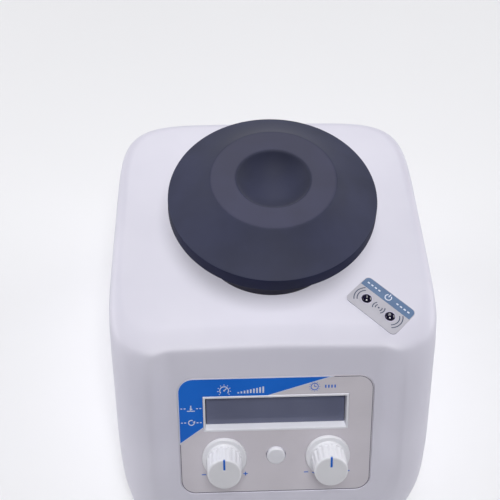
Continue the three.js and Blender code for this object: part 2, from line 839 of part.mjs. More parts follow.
// The motor's carrier: three lobes for the shoulder bolts, and a tab behind for the touch switch.
function motorPlate() {
  const lobes = hangPoints.flatMap(([x, y], i) => {
    const heading = -Math.PI / 2 + (i / hangPoints.length) * 2 * Math.PI;
    return lobeSteps.map((step) => {
      const turn = heading + step * degree;
      return new THREE.Vector2(x + plateLobeRadius * Math.cos(turn), y + plateLobeRadius * Math.sin(turn));
    });
  });
  const plate = slab(new THREE.Shape(lobes), motorPlateBottom, motorPlateTop);
  const tab = block(plateTabWidth, plateTabReach, motorPlateBottom, motorPlateTop)
    .translate(0, plateTabReach / 2, 0);
  const through = (radius, x, y) =>
    rod(radius, motorPlateBottom - cutOverrun, motorPlateTop + cutOverrun).translate(x, y, 0);
  const holes = [
    through(motorBearingRadius + bearingSeatWall, 0, orbitRadius),
    ...hangPoints.map(([x, y]) => through(shoulderRadius + seatGap, x, y)),
    ...motorScrewPoints.map(([x, y]) => through(motorScrewRadius + screwGap, x, y)),
  ];
  return cut(join(plate, tab), ...holes);
}

// One bolt that the plate slides on: head, shoulder and thread, standing on its head.
function shoulderBolt() {
  const headBottomHeight = shoulderHeadTop - shoulderHeadHeight;
  const threadBottom = shoulderHeadTop + shoulderLength;
  return turned([
    [0, headBottomHeight],
    [shoulderHeadRadius, headBottomHeight],
    [shoulderHeadRadius, shoulderHeadTop],
    [shoulderRadius, shoulderHeadTop],
    [shoulderRadius, threadBottom],
    [shoulderThreadRadius, threadBottom],
    [shoulderThreadRadius, threadBottom + shoulderThreadLength],
    [0, threadBottom + shoulderThreadLength],
  ], smallSides);
}

class CoilCurve extends THREE.Curve {
  constructor(radius, from, to, turns) {
    super();
    Object.assign(this, { radius, from, to, turns });
  }

  getPoint(share, target = new THREE.Vector3()) {
    const turn = share * this.turns * 2 * Math.PI;
    const height = THREE.MathUtils.lerp(this.from, this.to, share);
    return target.set(this.radius * Math.cos(turn), this.radius * Math.sin(turn), height);
  }
}

function spring() {
  const wire = new THREE.Shape();
  wire.absarc(0, 0, springWire, 0, 2 * Math.PI);
  const inset = springWire + seatGap;
  const path = new CoilCurve(springRadius, shoulderHeadTop + inset, motorPlateBottom - inset, springTurns);
  const steps = springTurns * springStepsPerTurn;
  const settings = { steps, curveSegments: wireSteps, extrudePath: path, bevelEnabled: false };
  return join(new THREE.ExtrudeGeometry(wire, settings));
}

function motorCan() {
  const seatOuter = motorBearingRadius + runningGap + bearingSeatWall;
  const faceInside = motorPlateBottom - motorFaceThickness;
  const bearingTop = motorPlateBottom - bearingSeatWall;
  const can = turnedRing([
    [shaftHoleRadius, bearingTop],
    [shaftHoleRadius, motorPlateBottom],
    [motorRadius, motorPlateBottom],
    [motorRadius, motorBottom],
    [motorRadius - motorWall, motorBottom],
    [motorRadius - motorWall, faceInside],
    [seatOuter, faceInside],
    [seatOuter, bearingTop - motorBearingWidth],
    [motorBearingRadius + runningGap, bearingTop - motorBearingWidth],
    [motorBearingRadius + runningGap, bearingTop],
  ]).translate(0, orbitRadius, 0);
  const holes = motorScrewPoints.map(([x, y]) =>
    rod(motorScrewRadius + runningGap, faceInside - cutOverrun, motorPlateBottom + cutOverrun)
      .translate(x, y, 0),
  );
  return cut(can, ...holes);
}

function motorEndCap() {
  const floor = motorBottom + bearingSeatWall;
  const seatInner = motorBearingRadius + runningGap;
  return turned([
    [0, motorBottom],
    [motorRadius - motorWall - seatGap, motorBottom],
    [motorRadius - motorWall - seatGap, motorBottom + endCapThickness],
    [seatInner + bearingSeatWall, motorBottom + endCapThickness],
    [seatInner + bearingSeatWall, floor + motorBearingWidth],
    [seatInner, floor + motorBearingWidth],
    [seatInner, floor],
    [0, floor],
  ], middleSides);
}

function motorShaft() {
  return rod(motorShaftRadius, motorBottom + bearingSeatWall + seatGap, crankTop - cutOverrun - seatGap, middleSides);
}

function motorBearing(bottom) {
  return washer(motorShaftRadius + runningGap, motorBearingRadius, bottom, bottom + motorBearingWidth, middleSides);
}

// The wound ring: a laminated core with the ends of the windings standing above and below it.
function stator() {
  const middle = (motorPlateBottom + motorBottom) / 2;
  const outer = motorRadius - motorWall - seatGap;
  const coilOuter = (statorInnerRadius + outer) / 2;
  const coilRise = motorWall * 3;
  const low = middle - statorLength / 2;
  const high = middle + statorLength / 2;
  return turnedRing([
    [statorInnerRadius, low - coilRise],
    [coilOuter, low - coilRise],
    [coilOuter, low],
    [outer, low],
    [outer, high],
    [coilOuter, high],
    [coilOuter, high + coilRise],
    [statorInnerRadius, high + coilRise],
  ], middleSides);
}

function rotorCore() {
  const middle = (motorPlateBottom + motorBottom) / 2;
  return washer(
    motorShaftRadius + runningGap, rotorCoreRadius, middle - rotorCoreLength / 2, middle + rotorCoreLength / 2,
  );
}

function touchBracket() {
  const backY = plateTabReach + 2 * seatGap + pressTravel;
  const bottom = touchSwitchBottom();
  const upright = block(bracketWidth, bracketThickness, bottom, deckUnderside)
    .translate(0, backY + bracketThickness / 2, 0);
  const flange = block(bracketWidth, bracketFlange, deckUnderside - bracketThickness, deckUnderside)
    .translate(0, backY + bracketFlange / 2, 0);
  return join(upright, flange);
}

function touchSwitchBottom() {
  const plungerTop = motorPlateBottom - pressTravel - seatGap;
  return plungerTop - touchPlungerHeight - touchSwitchHeight;
}

function touchSwitch() {
  const bottom = touchSwitchBottom();
  const top = bottom + touchSwitchHeight;
  const middleY = plateTabReach + seatGap + pressTravel - touchSwitchDepth / 2;
  const body = block(touchSwitchWidth, touchSwitchDepth, bottom, top).translate(0, middleY, 0);
  const plunger = rod(touchPlungerRadius, top - cutOverrun, top + touchPlungerHeight)
    .translate(0, middleY, 0);
  return join(body, plunger);
}

function panelOverlay() {
  const sheet = slab(roundedRectangle(panelWidth, panelLength, panelCorner), -panelThickness, 0)
    .translate(0, -panelMiddle, 0);
  const opening = 2 * (displayRim + seatGap);
  const window = block(displayWidth + opening, displayLength + opening, -cutOverrun - panelThickness, cutOverrun)
    .translate(0, -displayMiddle, 0);
  const through = (radius, x) =>
    rod(radius, -cutOverrun - panelThickness, cutOverrun, middleSides).translate(x, -controlRow, 0);
  return cut(
    sheet, window,
    through(bushingRadius + seatGap, -knobX),
    through(bushingRadius + seatGap, knobX),
    through(buttonRadius + seatGap, 0),
  );
}

// A frame as deep as the well that the glass lies in.
function displayFrame() {
  const outer = block(
    displayWidth + 2 * displayRim, displayLength + 2 * displayRim, -displayBack, displayRimProud,
  );
  const inner = block(displayWidth, displayLength, -displayBack - cutOverrun, displayRimProud + cutOverrun);
  return cut(outer, inner).translate(0, -displayMiddle, 0);
}

function displayGlass() {
  const width = displayWidth - 2 * seatGap;
  const length = displayLength - 2 * seatGap;
  return block(width, length, -displayBack, -displayDepth).translate(0, -displayMiddle, 0);
}

function displayModule() {
  const top = -displayBack - seatGap;
  const width = displayWidth + 2 * moduleSide;
  const length = displayLength + 2 * moduleEnd;
  return block(width, length, top - displayModuleThickness, top).translate(0, -displayMiddle, 0);
}

function controlBoard() {
  const sheet = block(boardWidth, boardLength, -boardDepth - boardThickness, -boardDepth);
  const chipSize = boardThickness * chipShare;
  const chip = block(chipSize, chipSize, -boardDepth - 2 * boardThickness, -boardDepth - boardThickness / 2);
  return join(sheet, chip).translate(0, -panelMiddle, 0);
}

function encoderBody() {
  const body = block(encoderWidth, encoderWidth, seatGap - boardDepth, -shellWall - seatGap);
  const bushing = rod(bushingRadius, -shellWall - cutOverrun, bushingProud);
  const boreBottom = 2 * seatGap - boardDepth + cutOverrun;
  const bore = rod(encoderShaftRadius + runningGap, boreBottom, bushingProud + cutOverrun, middleSides);
  return cut(join(body, bushing), bore);
}

function encoderShaft() {
  const bottom = 3 * seatGap - boardDepth + cutOverrun;
  return rod(encoderShaftRadius, bottom, knobLift + knobBoreDepth - seatGap, middleSides);
}

// A knob with a thin skirt, a slightly tapered grip and a pointer groove over its top and side.
function knob() {
  const top = knobLift + knobHeight;
  const body = turned([
    [0, knobLift + knobBoreDepth],
    [encoderShaftRadius + runningGap, knobLift + knobBoreDepth],
    [encoderShaftRadius + runningGap, knobLift],
    [knobRadius, knobLift],
    [knobRadius, knobLift + knobSkirtHeight - knobRound],
    [knobRadius - knobRound, knobLift + knobSkirtHeight],
    [knobGripRadius, knobLift + knobSkirtHeight],
    [knobGripRadius - knobGripTaper, top - knobRound],
    [knobGripRadius - knobGripTaper - knobRound, top],
    [0, top],
  ]);
  const groove = block(pointerWidth, knobGripRadius, top - pointerDepth, top + cutOverrun)
    .translate(0, knobGripRadius, 0);
  return cut(body, groove);
}

function modeButton() {
  const flangeTop = -shellWall - seatGap;
  return turned([
    [0, flangeTop - buttonFlangeThickness],
    [buttonRadius + buttonFlange, flangeTop - buttonFlangeThickness],
    [buttonRadius + buttonFlange, flangeTop],
    [buttonRadius, flangeTop],
    [buttonRadius, buttonProud - buttonFlange / 2],
    [buttonRadius - buttonFlange / 2, buttonProud],
    [0, buttonProud],
  ], middleSides);
}

function modeSwitch() {
  const bottom = seatGap - boardDepth;
  const plungerTop = -shellWall - 2 * seatGap - buttonFlangeThickness - buttonTravel;
  const body = block(buttonSwitchWidth, buttonSwitchWidth, bottom, bottom + buttonSwitchHeight);
  return join(body, rod(buttonPlungerRadius, bottom + buttonSwitchHeight / 2, plungerTop));
}

function sensorPlate() {
  const shape = roundedRectangle(sensorPlateLength, sensorPlateWidth, sensorPlateCorner);
  const sheet = slab(shape, deckHeight, deckHeight + sensorPlateThickness);
  const holes = lensPlaces().map(([x, y]) =>
    rod(lensRadius + seatGap, deckHeight - cutOverrun, deckHeight + sensorPlateThickness + cutOverrun)
      .translate(x, y, 0),
  );
  return sensorPlaced(cut(sheet, ...holes));
}

// A domed lens on a round stem that reaches down to the sensor board.
function sensorLens([x, y]) {
  const bottom = deckHeight - sensorBoardDrop + seatGap;
  const flangeTop = bottom + lensFlangeThickness;
  const domeHeight = lensRadius * lensDomeShare;
  const shoulder = deckHeight + lensProud - domeHeight;
  const profile = [
    [0, bottom],
    [lensRadius + lensFlange, bottom],
    [lensRadius + lensFlange, flangeTop],
    [lensRadius, flangeTop],
  ];
  for (let i = 0; i <= lensDomeSteps; i++) {
    const turn = ((i / lensDomeSteps) * Math.PI) / 2;
    profile.push([lensRadius * Math.cos(turn), shoulder + domeHeight * Math.sin(turn)]);
  }
  profile.at(-1)[0] = 0;
  return sensorPlaced(turned(profile, smallSides).translate(x, y, 0));
}

function sensorBoard() {
  const top = deckHeight - sensorBoardDrop;
  return sensorPlaced(block(sensorBoardLength, sensorBoardWidth, top - boardThickness, top));
}

// The socket's outline: a rectangle whose two upper corners are cut off.
function socketShape() {
  const x = socketWidth / 2;
  const y = socketHeight / 2;
  return new THREE.Shape([
    new THREE.Vector2(-x, -y),
    new THREE.Vector2(x, -y),
    new THREE.Vector2(x, y - socketCorner),
    new THREE.Vector2(x - socketCorner, y),
    new THREE.Vector2(socketCorner - x, y),
    new THREE.Vector2(-x, y - socketCorner),
  ]);
}

function powerInlet() {
  const flangeShape = roundedRectangle(
    inletWidth + 2 * inletFlange, inletHeight + 2 * inletFlange, inletFlange,
  );
  const flange = slab(flangeShape, 0, inletFlangeThickness);
  const body = block(inletWidth, inletHeight, -inletDepth, inletFlangeThickness / 2);
  const socket = slab(socketShape(), inletFlangeThickness - socketDepth, inletFlangeThickness + cutOverrun)
    .translate(0, socketRise, 0);
  const fuseBay = block(
    fuseWidth + 2 * screwGap, fuseHeight + 2 * screwGap, -fuseDepth - screwGap, inletFlangeThickness + cutOverrun,
  ).translate(0, -fuseDrop, 0);
  return join(cut(join(flange, body), socket, fuseBay), ...inletPins());
}

// The three contacts stand on the socket's floor, the middle one higher than its neighbours.
function inletPins() {
  const floor = inletFlangeThickness - socketDepth;
  return [-1, 0, 1].map((side) =>
    block(pinWidth, pinHeight, floor - pinWidth, floor + pinLength)
      .translate(side * pinPitch, socketRise + (side ? -pinDrop : pinDrop), 0),
  );
}

function fuseDrawer() {
  const face = block(fuseWidth, fuseHeight, -fuseDepth, inletFlangeThickness);
  const grip = block(fuseWidth / 3, fuseHeight / 3, 0, inletFlangeThickness + cutOverrun)
    .translate(0, -fuseHeight / 3, 0);
  return cut(face, grip).translate(0, -fuseDrop, 0);
}

function powerSwitchBody() {
  const flangeShape = roundedRectangle(
    switchWidth + 2 * switchFlange, switchHeight + 2 * switchFlange, switchFlange,
  );
  const flange = slab(flangeShape, 0, switchFlangeThickness);
  const body = block(switchWidth, switchHeight, -switchDepth, switchFlangeThickness / 2);
  const well = block(
    rockerWidth + 2 * seatGap, 2 * (rockerReach + seatGap),
    switchFlangeThickness - rockerPivotDepth - rockerHalf - 2 * seatGap, switchFlangeThickness + cutOverrun,
  );
  return cut(join(flange, body), well);
}

// A rocker drawn from its side: two facets that meet low in the middle, over a round underside.
function powerRocker() {
  const dip = rockerRise - rockerHalf * Math.tan(rockerTilt * degree);
  const side = new THREE.Shape();
  side.moveTo(rockerHalf, 0);
  side.lineTo(rockerHalf, rockerRise);
  side.lineTo(0, dip);
  side.lineTo(-rockerHalf, rockerRise);
  side.lineTo(-rockerHalf, 0);
  side.absarc(0, 0, rockerHalf, Math.PI, 2 * Math.PI);
  const settings = { depth: rockerWidth, bevelEnabled: false, curveSegments: rockerSteps };
  return new THREE.ExtrudeGeometry(side, settings)
    .translate(0, 0, -rockerWidth / 2)
    .rotateY(Math.PI / 2)
    .rotateX(Math.PI / 2);
}

function powerBoard() {
  const top = powerBoardTop;
  const sunk = boardThickness / 2;
  const sheet = block(powerBoardWidth, powerBoardLength, powerBoardBottom, top);
  const transformer = block(transformerWidth, transformerLength, top - sunk, top + transformerHeight)
    .translate(-powerBoardWidth * transformerShare, 0, 0);
  const capacitor = rod(capacitorRadius, top - sunk, top + capacitorHeight)
    .translate(powerBoardWidth * capacitorShare, -powerBoardLength * transformerShare, 0);
  const heatSink = block(heatSinkWidth, heatSinkLength, top - sunk, top + heatSinkHeight)
    .translate(powerBoardWidth * heatSinkShare, 0, 0);
  return join(sheet, transformer, capacitor, heatSink).translate(0, powerBoardY, 0);
}

function piece(parent, name, geometry, [color, roughness, metalness], x = 0, y = 0, z = 0) {
  const material = new THREE.MeshStandardMaterial({ color, roughness, metalness });
  const mesh = new THREE.Mesh(join(geometry), material);
  mesh.name = name;
  mesh.position.set(x, y, z);
  parent.add(mesh);
  return mesh;
}

function framed(parent, matrix, x = 0, y = 0) {
  const group = new THREE.Group();
  group.applyMatrix4(matrix);
  const inner = new THREE.Group();
  inner.position.set(x, y, 0);
  group.add(inner);
  parent.add(group);
  return inner;
}

function addHousing(parent) {
  piece(parent, "housing_shell", housingShell(), finishes.housing);
  piece(parent, "base_plate", basePlate(), finishes.blackSteel);
  feet.forEach(([x, y], i) => {
    const shank = footScrewLength;
    piece(parent, `foot_${i + 1}`, foot(), finishes.foot, x, y);
    const footScrew = screw(footScrewRadius, footScrewHeadRadius, footScrewHeadHeight, shank);
    piece(parent, `foot_screw_${i + 1}`, footScrew, finishes.zinc, x, y, footRecessDepth);
  });
}

function addHead(parent) {
  piece(parent, "head_pad", headPad(), finishes.rubber);
  piece(parent, "head_hub", headHub(), finishes.aluminium);
  piece(parent, "head_bearing", headBearing(), finishes.steel);
  const screwSeat = crankPinTop + screwGap + headWasherThickness;
  const headScrew = screw(headScrewRadius, headScrewHeadRadius, headScrewHeadHeight, headScrewLength)
    .rotateX(Math.PI);
  piece(parent, "head_screw", headScrew, finishes.zinc, 0, 0, screwSeat);
  piece(parent, "head_washer", headWasher(), finishes.zinc);
  piece(parent, "head_boot", headBoot(), finishes.boot, 0, orbitRadius);
  piece(parent, "boot_clamp_ring", bootClampRing(), finishes.zinc);
}

function addDrive(parent) {
  piece(parent, "motor_plate", motorPlate(), finishes.zinc);
  hangPoints.forEach(([x, y], i) => {
    piece(parent, `shoulder_bolt_${i + 1}`, shoulderBolt(), finishes.steel, x, y);
    piece(parent, `plate_spring_${i + 1}`, spring(), finishes.steel, x, y);
  });
  piece(parent, "motor_can", motorCan(), finishes.blackSteel);
  piece(parent, "motor_end_cap", motorEndCap(), finishes.aluminium, 0, orbitRadius);
  piece(parent, "motor_stator", stator(), finishes.copper, 0, orbitRadius);
  const upperBearing = motorBearing(motorPlateBottom - bearingSeatWall - motorBearingWidth);
  piece(parent, "motor_bearing_upper", upperBearing, finishes.steel, 0, orbitRadius);
  const lowerBearing = motorBearing(motorBottom + bearingSeatWall);
  piece(parent, "motor_bearing_lower", lowerBearing, finishes.steel, 0, orbitRadius);
  piece(parent, "motor_shaft", motorShaft(), finishes.steel, 0, orbitRadius);
  piece(parent, "rotor_core", rotorCore(), finishes.steel, 0, orbitRadius);
  piece(parent, "crank", crank(), finishes.steel, 0, orbitRadius);
  piece(parent, "crank_set_screw", setScrew(), finishes.blackSteel, 0, orbitRadius);
  piece(parent, "touch_bracket", touchBracket(), finishes.zinc);
  piece(parent, "touch_switch", touchSwitch(), finishes.blackPlastic);
}

function addFrontPanel(parent) {
  const slope = framed(parent, slopeFrame);
  piece(slope, "panel_overlay", panelOverlay(), finishes.panel);
  piece(slope, "display_frame", displayFrame(), finishes.white);
  piece(slope, "display_glass", displayGlass(), finishes.darkGlass);
  piece(slope, "display_module", displayModule(), finishes.blackPlastic);
  piece(slope, "control_board", controlBoard(), finishes.board);
  for (const [label, x] of [["speed", -knobX], ["time", knobX]]) {
    piece(slope, `${label}_encoder`, encoderBody(), finishes.blackPlastic, x, -controlRow);
    piece(slope, `${label}_shaft`, encoderShaft(), finishes.aluminium, x, -controlRow);
    piece(slope, `${label}_knob`, knob(), finishes.knob, x, -controlRow);
  }
  piece(slope, "mode_button", modeButton(), finishes.white, 0, -controlRow);
  piece(slope, "mode_switch", modeSwitch(), finishes.blackPlastic, 0, -controlRow);
}

function addSensor(parent) {
  piece(parent, "sensor_plate", sensorPlate(), finishes.sensorPlate);
  const [first, second] = lensPlaces();
  piece(parent, "sensor_lens_1", sensorLens(first), finishes.lens);
  piece(parent, "sensor_lens_2", sensorLens(second), finishes.lens);
  piece(parent, "sensor_board", sensorBoard(), finishes.board);
}

function addPower(parent) {
  const inlet = framed(parent, backFrame, -inletX);
  piece(inlet, "power_inlet", powerInlet(), finishes.blackPlastic);
  piece(inlet, "fuse_drawer", fuseDrawer(), finishes.blackPlastic);
  const powerSwitch = framed(parent, backFrame, -switchX);
  piece(powerSwitch, "power_switch_body", powerSwitchBody(), finishes.blackPlastic);
  const rockerHeight = switchFlangeThickness - rockerPivotDepth;
  const rocker = piece(powerSwitch, "power_rocker", powerRocker(), finishes.blackPlastic, 0, 0, rockerHeight);
  rocker.rotation.x = rockerTilt * degree;
  piece(parent, "power_board", powerBoard(), finishes.board);
}

const mixer = new THREE.Group();
for (const add of [addHousing, addHead, addDrive, addFrontPanel, addSensor, addPower]) add(mixer);
mixer.updateMatrixWorld(true);
const bounds = new THREE.Box3().setFromObject(mixer, true);
const middle = bounds.getCenter(new THREE.Vector3());
mixer.position.set(-middle.x, -middle.y, -bounds.min.z);

export default mixer;
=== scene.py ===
# Looks of the bench orbital mixer: its fine housing, rubber head, printed panel and fittings, dressed
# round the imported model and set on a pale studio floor.
import json
from math import asin, cos, hypot, pi, radians, sin, tan

import bmesh
import bpy
from mathutils import Matrix, Vector

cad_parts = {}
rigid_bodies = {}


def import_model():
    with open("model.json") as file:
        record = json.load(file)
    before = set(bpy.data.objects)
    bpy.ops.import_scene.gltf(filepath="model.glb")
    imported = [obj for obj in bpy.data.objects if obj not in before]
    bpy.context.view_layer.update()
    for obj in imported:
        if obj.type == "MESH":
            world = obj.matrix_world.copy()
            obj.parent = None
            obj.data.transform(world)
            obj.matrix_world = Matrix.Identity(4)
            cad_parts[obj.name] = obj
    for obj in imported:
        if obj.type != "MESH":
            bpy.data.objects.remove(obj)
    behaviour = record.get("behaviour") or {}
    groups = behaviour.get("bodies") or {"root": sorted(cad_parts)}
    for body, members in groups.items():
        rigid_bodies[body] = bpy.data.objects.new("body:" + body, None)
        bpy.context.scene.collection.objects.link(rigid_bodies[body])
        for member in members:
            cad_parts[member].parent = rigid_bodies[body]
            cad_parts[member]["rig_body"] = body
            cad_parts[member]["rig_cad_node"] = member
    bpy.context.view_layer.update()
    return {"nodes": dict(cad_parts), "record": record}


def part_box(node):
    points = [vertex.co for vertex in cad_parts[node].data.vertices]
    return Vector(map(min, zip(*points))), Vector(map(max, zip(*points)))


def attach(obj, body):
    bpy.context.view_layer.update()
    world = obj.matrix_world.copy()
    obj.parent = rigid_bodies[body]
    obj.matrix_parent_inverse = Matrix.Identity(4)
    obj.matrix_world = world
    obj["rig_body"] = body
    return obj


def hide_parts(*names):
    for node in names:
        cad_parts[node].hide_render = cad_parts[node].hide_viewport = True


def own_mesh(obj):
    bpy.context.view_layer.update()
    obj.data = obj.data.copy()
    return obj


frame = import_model()
mm = 0.001
scene = bpy.context.scene
scene.view_settings.view_transform = "Standard"

shellLow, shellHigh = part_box("housing_shell")
padLow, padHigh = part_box("head_pad")
bootLow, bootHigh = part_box("head_boot")
headAxis = (padLow + padHigh) / 2
motorAxis = (bootLow + bootHigh) / 2
deck = shellHigh.z

# The radius in mm at which a turned profile closes at its axis.
pole = 0.02


# Working with pieces

def letGo():
    if bpy.context.mode != "OBJECT":
        bpy.ops.object.mode_set(mode="OBJECT")
    bpy.ops.object.select_all(action="DESELECT")


def takeUp(piece):
    letGo()
    piece.select_set(True)
    bpy.context.view_layer.objects.active = piece


def openUp(piece, everything=False):
    takeUp(piece)
    bpy.ops.object.mode_set(mode="EDIT")
    bpy.ops.mesh.select_mode(type="VERT")
    bpy.ops.mesh.select_all(action="SELECT" if everything else "DESELECT")


def closeUp():
    bpy.ops.object.mode_set(mode="OBJECT")


# Turns every face outwards and leaves edit mode.
def closeOutward():
    bpy.ops.mesh.select_all(action="SELECT")
    bpy.ops.mesh.normals_make_consistent(inside=False)
    closeUp()


def named(name):
    piece = bpy.context.object
    piece.name = piece.data.name = name
    bpy.ops.object.transform_apply()
    return piece


# Selects the edges or the faces that pass a test.
def pick(piece, kind, test):
    bpy.ops.mesh.select_mode(type=kind)
    bpy.ops.mesh.select_all(action="DESELECT")
    shape = bmesh.from_edit_mesh(piece.data)
    for item in shape.edges if kind == "EDGE" else shape.faces:
        item.select_set(test(item))
    bmesh.update_edit_mesh(piece.data)


def applyModifier(piece, kind, **settings):
    takeUp(piece)
    modifier = piece.modifiers.new(kind.lower(), kind)
    for key, value in settings.items():
        setattr(modifier, key, value)
    bpy.ops.object.modifier_apply(modifier=modifier.name)
    return piece


def smooth(piece, angle=38):
    takeUp(piece)
    bpy.ops.object.shade_smooth_by_angle(angle=radians(angle))
    return piece


# Rounds every edge sharper than the angle, and keeps the flat faces between them shaded flat.
def soften(piece, width, segments=3, angle=32):
    applyModifier(piece, "BEVEL", width=width * mm, segments=segments, limit_method="ANGLE",
                  angle_limit=radians(angle), use_clamp_overlap=True)
    smooth(piece)
    return applyModifier(piece, "WEIGHTED_NORMAL", keep_sharp=True)


# Moves a piece made round the origin to where it belongs, with its place left in the mesh.
def settle(piece, place):
    takeUp(piece)
    piece.matrix_world = place
    bpy.ops.object.transform_apply()
    return piece


def ownCopy(original, name):
    piece = original.copy()
    piece.data = original.data.copy()
    piece.name = piece.data.name = name
    scene.collection.objects.link(piece)
    return piece


def joinAll(pieces, name):
    letGo()
    for piece in pieces:
        piece.select_set(True)
    bpy.context.view_layer.objects.active = pieces[0]
    if len(pieces) > 1:
        bpy.ops.object.join()
    pieces[0].name = pieces[0].data.name = name
    return pieces[0]


def cutAway(piece, cutters):
    for cutter in cutters:
        applyModifier(piece, "BOOLEAN", operation="DIFFERENCE", solver="EXACT", object=cutter)
        bpy.data.objects.remove(cutter)


# Puts fixed pieces in their place and makes one of them.
def settleAll(pieces, name, place, finish, slot):
    for piece in pieces:
        settle(piece, place)
    dress(joinAll(pieces, name), finish, "body", slot)


# A node's middle, and a shift in mm.
def middleOf(node):
    return sum(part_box(node), Vector()) / 2


def shift(x, y, z=0.0):
    return Matrix.Translation((x * mm, y * mm, z * mm))


# Gives a piece its finish and the body it rides on, and hides the nodes that it stands for. Its slot is not used.
def dress(piece, finish, body, slot, *nodes):
    piece.data.materials.clear()
    piece.data.materials.append(finishes[finish])
    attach(piece, body)
    if nodes:
        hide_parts(*nodes)


# A CAD node's shape, merged, with its flat faces whole again and its edges softened. It stands for the node,
# and its finish has its slot's name.
def softCopy(node, name, slot, body, width, segments=3):
    piece = ownCopy(frame["nodes"][node], name)
    piece.parent = None
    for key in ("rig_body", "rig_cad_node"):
        del piece[key]
    piece.matrix_world = Matrix.Identity(4)
    openUp(piece, everything=True)
    bpy.ops.mesh.remove_doubles(threshold=1e-6)
    bpy.ops.mesh.dissolve_limited(angle_limit=radians(0.5))
    closeUp()
    dress(soften(piece, width, segments), slot, body, slot, node)


# A round piece: a circle pulled along its axis ring by ring. A profile that ends where it began is a ring.
# The profile is in mm.
def turnedPiece(name, profile, x=0.0, y=0.0, sides=96):
    letGo()
    profile = [(radius * mm, height * mm) for radius, height in profile]
    ring = profile[0] == profile[-1]
    radius, height = profile[0]
    bpy.ops.mesh.primitive_circle_add(vertices=sides, radius=radius, location=(x, y, height),
                                      fill_type="NOTHING" if ring else "NGON")
    piece = named(name)
    openUp(piece, everything=True)
    for nextRadius, nextHeight in profile[1:]:
        bpy.ops.mesh.extrude_region_move(TRANSFORM_OT_translate={"value": (0, 0, nextHeight - height)})
        grow = nextRadius / radius
        bpy.ops.transform.resize(value=(grow, grow, 1), center_override=(x, y, nextHeight))
        radius, height = nextRadius, nextHeight
    bpy.ops.mesh.select_all(action="SELECT")
    bpy.ops.mesh.remove_doubles(threshold=1e-6)
    closeOutward()
    return smooth(piece)


# A block from low to high whose upright edges are rounded.
def blockPiece(name, width, length, low, high, x=0.0, y=0.0, corner=0.0, steps=8):
    letGo()
    bpy.ops.mesh.primitive_cube_add(size=1, location=(x, y, (low + high) / 2), scale=(width, length, high - low))
    piece = named(name)
    if corner:
        openUp(piece)
        pick(piece, "EDGE", lambda edge: abs(edge.verts[0].co.z - edge.verts[1].co.z) > (high - low) / 2)
        bpy.ops.mesh.bevel(offset=corner, segments=steps, affect="EDGES")
        closeUp()
    return piece


def rodPiece(name, radius, low, high, x=0.0, y=0.0, sides=48):
    letGo()
    bpy.ops.mesh.primitive_cylinder_add(vertices=sides, radius=radius, depth=high - low,
                                        location=(x, y, (low + high) / 2))
    return named(name)


# Finishes

def tone(colour):
    def linear(value):
        share = value / 255
        return share / 12.92 if share <= 0.04045 else ((share + 0.055) / 1.055) ** 2.4
    return tuple(linear(value) for value in colour) + (1,)


def grainNode(nodes, links, place, size, detail=2.0):
    noise = nodes.new("ShaderNodeTexNoise")
    noise.inputs["Scale"].default_value = 1 / (size * mm)
    noise.inputs["Detail"].default_value = detail
    links.new(place, noise.inputs["Vector"])
    return noise


# A finish whose colour drifts between two tones in patches, with fine relief and uneven gloss.
def newFinish(name, look):
    material = bpy.data.materials.new(name)
    material.use_nodes = True
    nodes, links = material.node_tree.nodes, material.node_tree.links
    shader = nodes["Principled BSDF"]
    place = nodes.new("ShaderNodeTexCoord").outputs["Object"]
    mapping = nodes.new("ShaderNodeMapping")
    mapping.inputs["Scale"].default_value = (1, 1, look.get("stretch", 1))
    links.new(place, mapping.inputs["Vector"])

    patches = grainNode(nodes, links, place, look.get("patch", 30), 3)
    ramp = nodes.new("ShaderNodeValToRGB")
    for stop, key, position in zip(ramp.color_ramp.elements, ("dark", "light"), (0.35, 0.65)):
        stop.position, stop.color = position, tone(look[key])
    links.new(patches.outputs["Fac"], ramp.inputs["Fac"])
    links.new(ramp.outputs["Color"], shader.inputs["Base Color"])

    grain = grainNode(nodes, links, mapping.outputs["Vector"], look.get("grain", 0.4))
    bump = nodes.new("ShaderNodeBump")
    bump.inputs["Strength"].default_value = look.get("relief", 0.2)
    bump.inputs["Distance"].default_value = look.get("grain", 0.4) * mm / 4
    links.new(grain.outputs["Fac"], bump.inputs["Height"])
    links.new(bump.outputs["Normal"], shader.inputs["Normal"])

    gloss = nodes.new("ShaderNodeMapRange")
    gloss.inputs["To Min"].default_value, gloss.inputs["To Max"].default_value = look["rough"]
    links.new(patches.outputs["Fac"], gloss.inputs["Value"])
    links.new(gloss.outputs["Result"], shader.inputs["Roughness"])

    for key, socket, usual in (("metal", "Metallic", 0), ("shine", "Specular IOR Level", 0.5),
                               ("coat", "Coat Weight", 0), ("coatRough", "Coat Roughness", 0.1),
                               ("sheen", "Sheen Weight", 0)):
        shader.inputs[socket].default_value = look.get(key, usual)
    return material


